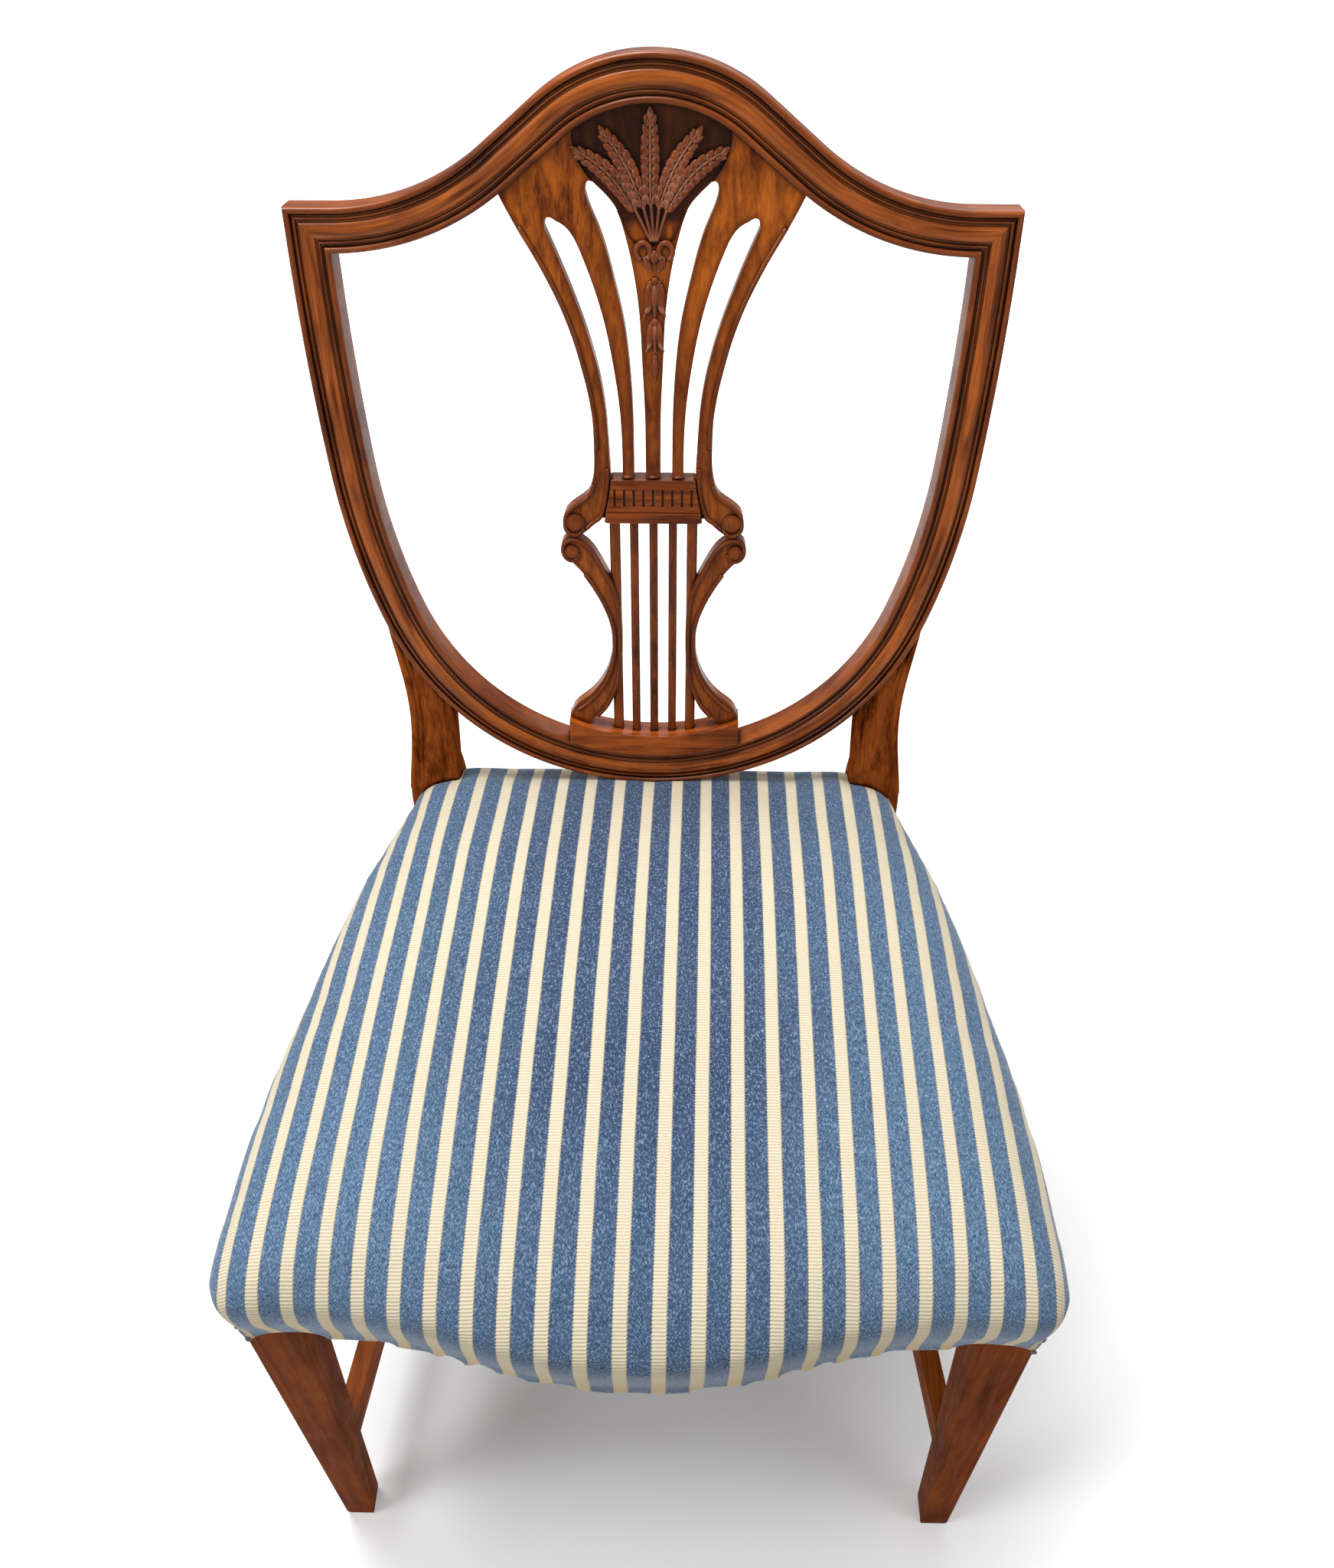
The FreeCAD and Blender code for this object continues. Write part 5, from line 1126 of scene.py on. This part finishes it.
    def measured(self, made: bpy.types.Object) -> None:
        """Write the UV map: how far a point lies across and along the cut cloth."""
        places = self.coordinates(made)
        x, y, z = places.T
        knots_z = np.array([0.384, 0.420, 0.438, 0.447, 0.4555, 0.463, 0.470, 0.476, 0.4795, 0.481, 0.49])
        extra = np.array([0.062, 0.026, 0.009, 0.0045, 0.0022, 0.0012, 0.0006, 0.0003, 0.0001, 0.0, 0.0])
        drop = np.interp(z, knots_z, extra)
        share = np.clip((y + 0.28) / 0.455, 0.0, 1.0)
        half = 0.272 - 0.066 * share ** 1.6
        to_side = np.maximum(half - np.abs(x), 0.0) + 0.002
        to_front = np.maximum(y + 0.281 + 0.030 * np.cos(np.clip(x / 0.2, -1, 1) * np.pi / 2) ** 2, 0.0) + 0.002
        to_back = np.maximum(0.205 - y, 0.0) + 0.002
        ends = np.minimum(to_front, to_back)
        side = ends ** 2 / (ends ** 2 + to_side ** 2)
        across = x + self.side_pull * x ** 3 + np.sign(x) * side * drop
        along = y + np.where(to_front < to_back, -1.0, 1.0) * (1.0 - side) * drop
        layer = made.data.uv_layers.new(name="cloth")
        corners = np.zeros(len(made.data.loops), np.int32)
        made.data.loops.foreach_get("vertex_index", corners)
        layer.data.foreach_set("uv", np.stack([across, along], axis=1)[corners].astype(np.float32).ravel())

    def cover(self, finishes: Finishes) -> bpy.types.Object:
        """Make the striped cover."""
        made = self.wrapped()
        self.remeshed(made, self.voxel, self.calm)
        self.inflated(made)
        self.refined(made)
        self.tacked(made)
        self.opened(made)
        self.measured(made)
        shaded_smooth(made)
        thickened(made, self.thick, -1.0)
        dress(made, finishes.cloth)
        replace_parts(made, "seat_cover")
        return made

    def stuffing(self, finishes: Finishes) -> None:
        """Make the stuffing under the cover."""
        made = as_object("horsehair_stuffing", merged_copy("seat_stuffing"))
        self.remeshed(made, 0.006, 4)
        shaded_smooth(made)
        dress(made, finishes.hair)
        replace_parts(made, "seat_stuffing")

    def sheet(self, name: str, node: str, sag: float, thick: float, material: bpy.types.Material) -> None:
        """Make a cloth cut to a node's plan, with a little sag.

        Args:
            name: Name of the piece.
            node: Flat node of the frame that it stands for.
            sag: How far its middle hangs down in metres.
            thick: Thickness of the cloth.
            material: Its finish.
        """
        low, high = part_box(node)
        form = merged_copy(node)
        form.normal_update()
        bmesh.ops.delete(form, geom=[face for face in form.faces if face.normal.z > -0.9], context="FACES")
        bmesh.ops.dissolve_limit(form, angle_limit=0.01, verts=form.verts[:], edges=form.edges[:])
        for axis in (0, 1):
            place = low[axis] + 0.012
            while place < high[axis]:
                where, normal = Vector((0, 0, 0)), Vector((0, 0, 0))
                where[axis], normal[axis] = place, 1.0
                bmesh.ops.bisect_plane(form, geom=form.verts[:] + form.edges[:] + form.faces[:], plane_co=where,
                                       plane_no=normal)
                place += 0.014
        middle = (low + high) / 2
        for vert in form.verts:
            across = 1.0 - min(1.0, abs(vert.co.x) / (high.x * 0.8)) ** 2
            depth = 1.0 - min(1.0, abs(vert.co.y - middle.y) / ((high.y - low.y) * 0.4)) ** 2
            vert.co.z = high.z - sag * across * depth
        made = mesh_piece(name, form, material)
        thickened(made, thick, 1.0)
        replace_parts(made, node)

    def webs(self, finishes: Finishes) -> None:
        """Weave the webs over and under each other."""
        low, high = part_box("seat_webbing")
        form = bmesh.new()
        width, pitch, cross_pitch = 0.050, 0.072, 0.094
        long_x = [(index - 1.5) * pitch for index in range(4)]
        cross_y = [(-266.3 + 110.0 + 94.0 * index) * MM for index in range(3)]
        level = (low.z + high.z) / 2

        def strip(middle: float, first: float, last: float, along: Axis, wave: int) -> None:
            """Add one web, rising and falling at each crossing."""
            made = bmesh.ops.create_grid(form, x_segments=4, y_segments=60, size=0.5)["verts"]
            for vert in made:
                run = first + (last - first) * (vert.co.y + 0.5)
                aside = middle + vert.co.x * width
                beat = pitch if along is Axis.ACROSS else cross_pitch
                start = long_x[0] if along is Axis.ACROSS else cross_y[0]
                lift = 0.00072 * math.cos(math.pi * (run - start) / beat) * wave
                vert.co = Vector((run, aside, level + lift) if along is Axis.ACROSS else (aside, run, level + lift))

        for index, x in enumerate(long_x):
            strip(x, low.y + (0.0 if index in (1, 2) else 0.011), high.y, Axis.DEPTH, 1 if index % 2 else -1)
        for index, y in enumerate(cross_y):
            share = (y + 0.2293) / (0.175 + 0.2293)
            reach = 0.2446 + (0.2035 - 0.2566) * share
            strip(y, -reach, reach, Axis.ACROSS, 1 if index % 2 == 0 else -1)
        bmesh.ops.recalc_face_normals(form, faces=form.faces[:])
        made = mesh_piece("woven_webs", form, finishes.web)
        thickened(made, 0.0011, 0.0)
        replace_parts(made, "seat_webbing")

    def build(self, finishes: Finishes) -> bpy.types.Object:
        """Upholster the seat and return its cover."""
        self.webs(finishes)
        self.sheet("hessian", "seat_hessian", 0.0, 0.0009, finishes.jute)
        self.stuffing(finishes)
        made = self.cover(finishes)
        self.sheet("dust_cloth", "dust_cover", 0.0015, 0.0008, finishes.dust)
        return made


@dataclass
class Fixings:
    """Tacks round the dust cover and at the corners, and screws in the corner blocks."""

    tack_radius: float = 2.6
    tack_height: float = 0.0011
    corner_radius: float = 2.2
    corner_tacks: tuple[tuple[float, float, float], ...] = ((0.266, -0.268, 0.3945), (0.252, -0.280, 0.3935))
    screw_radius: float = 4.2
    head_height: float = 0.0012

    def facing(self, place: Vector, out: Vector) -> Matrix:
        """Stand a head on a place, looking outwards."""
        return Matrix.Translation(place) @ out.to_track_quat("Z", "Y").to_matrix().to_4x4()

    def dome(self, target: bmesh.types.BMesh, place: Matrix, radius: float, height: float) -> None:
        """Add a low round head."""
        made = bmesh.ops.create_uvsphere(target, u_segments=14, v_segments=6, radius=1.0, matrix=Matrix())["verts"]
        for vert in made:
            vert.co = place @ Vector((vert.co.x * radius, vert.co.y * radius, max(vert.co.z, -0.2) * height))

    def tacks(self, cover: bpy.types.Object) -> bmesh.types.BMesh:
        """Tacks under the seat rails and at the front corners."""
        made = bmesh.new()
        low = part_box("dust_cover")[0].z
        down = Matrix.Rotation(math.pi, 4, "X")
        spots = []
        for index in range(13):
            x = -0.180 + 0.030 * index
            spots.append((x, -0.258 - 0.027 * math.cos(min(1.0, abs(x) / 0.2) * math.pi / 2) ** 2))
        for index in range(11):
            share = (index + 0.5) / 11
            spots += [(hand * (0.238 - 0.051 * share), -0.215 + 0.375 * share) for hand in (-1, 1)]
        spots += [(-0.140 + 0.031 * index, 0.186) for index in range(10)]
        for x, y in spots:
            self.dome(made, Matrix.Translation((x, y, low)) @ down, self.tack_radius * MM, self.tack_height)
        skin = BVHTree.FromPolygons([vert.co for vert in cover.data.vertices],
                                    [face.vertices[:] for face in cover.data.polygons])
        for x, y, z in self.corner_tacks:
            for hand in (1, -1):
                place, face = skin.find_nearest(Vector((hand * x, y, z)))[:2]
                self.dome(made, self.facing(place, face), self.corner_radius * MM, self.head_height)
        return made

    def screws(self) -> bmesh.types.BMesh:
        """Two round-headed screws in the open face of each corner block."""
        made = bmesh.new()
        for name in ("right_front_corner_block", "left_front_corner_block", "right_back_corner_block",
                     "left_back_corner_block"):
            block = merged_copy(name)
            block.normal_update()
            middle = sum((vert.co for vert in block.verts), Vector()) / len(block.verts)
            inward = Vector((-math.copysign(1.0, middle.x), -math.copysign(1.0, middle.y), 0.0)).normalized()
            open_faces = [part for part in block.faces if part.normal.dot(inward) > 0.8]
            places = [vert.co for part in open_faces for vert in part.verts]
            face = open_faces[0].normal.copy()
            side = face.cross(Vector((0.0, 0.0, 1.0)))
            centre = Vector((min(p[i] for p in places) + max(p[i] for p in places)) / 2 for i in range(3))
            block.free()
            for shift in (-0.012, 0.012):
                self.dome(made, self.facing(centre + side * shift, face), self.screw_radius * MM, self.head_height)
        return made

    def build(self, finishes: Finishes, cover: bpy.types.Object) -> None:
        """Drive the fixings."""
        mesh_piece("dust_cloth_tacks", self.tacks(cover), finishes.tack)
        mesh_piece("block_screws", self.screws(), finishes.screw)


@dataclass
class Studio:
    """Pale floor, soft lamps and the camera of the photograph.

    Attributes:
        eye: Place of the camera.
        pitch: How far it looks down, in radians.
        yaw: How far it is turned to the left.
        roll: How far it is tipped.
        lens: Focal length in millimetres.
        shift_up: Shift of the picture, as a share of its width.
        world_power: Light of the surroundings on the chair.
    """

    eye: tuple[float, float, float] = (0.0265, -0.6160, 1.2559)
    pitch: float = 0.8336
    yaw: float = 0.0203
    roll: float = 0.003
    lens: float = 31.184
    shift_up: float = 0.0339
    world_power: float = 0.27

    def camera(self) -> None:
        """Set up the camera."""
        data = bpy.data.cameras.new("camera")
        data.sensor_width = 36.0
        data.lens = self.lens
        data.shift_y = self.shift_up
        data.clip_start = 0.01
        look = Vector((-math.sin(self.yaw) * math.cos(self.pitch), math.cos(self.yaw) * math.cos(self.pitch),
                       -math.sin(self.pitch)))
        right = Vector((math.cos(self.yaw), math.sin(self.yaw), 0.0))
        down = look.cross(right)
        level, tilt = math.cos(self.roll), math.sin(self.roll)
        right, down = right * level + down * tilt, down * level - right * tilt
        made = bpy.data.objects.new("camera", data)
        made.matrix_world = Matrix.Translation(self.eye) @ Matrix((right, -down, -look)).transposed().to_4x4()
        bpy.context.scene.collection.objects.link(made)
        bpy.context.scene.camera = made

    def lamp(self, name: str, place: Point, size: float, power: float) -> None:
        """Add a square soft lamp that looks at the seat."""
        data = bpy.data.lights.new(name, "AREA")
        data.size = size
        data.energy = power
        made = bpy.data.objects.new(name, data)
        made.location = place
        made.rotation_euler = (Vector((0.0, 0.0, 0.5)) - Vector(place)).to_track_quat("-Z", "Y").to_euler()
        bpy.context.scene.collection.objects.link(made)

    def lamps(self) -> None:
        """Hang the lamps."""
        self.lamp("overhead", (-0.4, 0.5, 2.7), 1.1, 62.0)
        self.lamp("left", (-2.1, -1.1, 2.0), 1.0, 26.0)
        self.lamp("right", (2.3, -1.3, 1.6), 1.5, 16.0)
        self.lamp("behind", (0.4, 2.4, 1.9), 1.6, 11.0)

    def world(self) -> None:
        """Pale even surroundings, white to the camera."""
        world = bpy.data.worlds.new("studio")
        world.use_nodes = True
        bpy.context.scene.world = world
        tree = world.node_tree
        ground = tree.nodes["Background"]
        ground.inputs["Color"].default_value = (1.0, 1.0, 1.0, 1.0)
        path = tree.nodes.new("ShaderNodeLightPath")
        seen = tree.nodes.new("ShaderNodeMath")
        seen.operation = "MAXIMUM"
        tree.links.new(path.outputs["Is Camera Ray"], seen.inputs[0])
        tree.links.new(path.outputs["Is Transmission Ray"], seen.inputs[1])
        power = tree.nodes.new("ShaderNodeMapRange")
        power.inputs["To Min"].default_value = self.world_power
        power.inputs["To Max"].default_value = 1.0
        tree.links.new(seen.outputs[0], power.inputs["Value"])
        tree.links.new(power.outputs[0], ground.inputs["Strength"])

    def floor(self) -> None:
        """Lay the pale floor, with a painted glow to the camera that is weakest near the chair and shapes the fade
        of its shadow.
        """
        form = bmesh.new()
        bmesh.ops.create_grid(form, x_segments=1, y_segments=1, size=14.0)
        made = as_object("floor", form)
        g = Graph("floor_paper")
        paper = g.mix(g.noise(g.places, 3.0), (0.86, 0.86, 0.86), (0.88, 0.88, 0.88))
        g.shade(Base_Color=paper, Roughness=0.9, Specular_IOR_Level=0.1, Emission_Color=(1.0, 1.0, 1.0, 1.0))
        seen = g.add("ShaderNodeLightPath").outputs["Is Camera Ray"]
        far = g.add("ShaderNodeVectorMath", {0: g.places}, operation="LENGTH").outputs["Value"]
        place = g.add("ShaderNodeSeparateXYZ", {0: g.places}).outputs
        # Painted light: the floor glows to the camera more at the sides, the front and far off, which shapes the
        # fade of the shadow.
        lift = g.math("ADD", g.span(g.math("ABSOLUTE", place[0]), 0.12, 0.33, 0.01, 0.13),
                      g.span(place[1], -0.19, -0.32, 0.0, 0.26))
        lift = g.math("MAXIMUM", lift, g.span(far, 0.38, 1.7, 0.01, 1.0))
        g.shade(Emission_Strength=g.math("MULTIPLY", seen, lift))
        made.data.materials.append(g.material)

    def build(self) -> None:
        """Set the studio up."""
        self.camera()
        self.lamps()
        self.world()
        self.floor()
        bpy.context.scene.view_settings.view_transform = "Standard"


def main() -> None:
    """Build the chair in order."""
    logging.basicConfig(level=logging.INFO, format="%(name)s: %(message)s")
    finishes = Finishes()
    Joinery().polish(finishes)
    Carving().build(finishes)
    EdgeBeads().build(finishes)
    ShieldMoulding().build(finishes)
    cover = Seat().build(finishes)
    Fixings().build(finishes, cover)
    Studio().build()


if __name__ == "__main__":
    main()
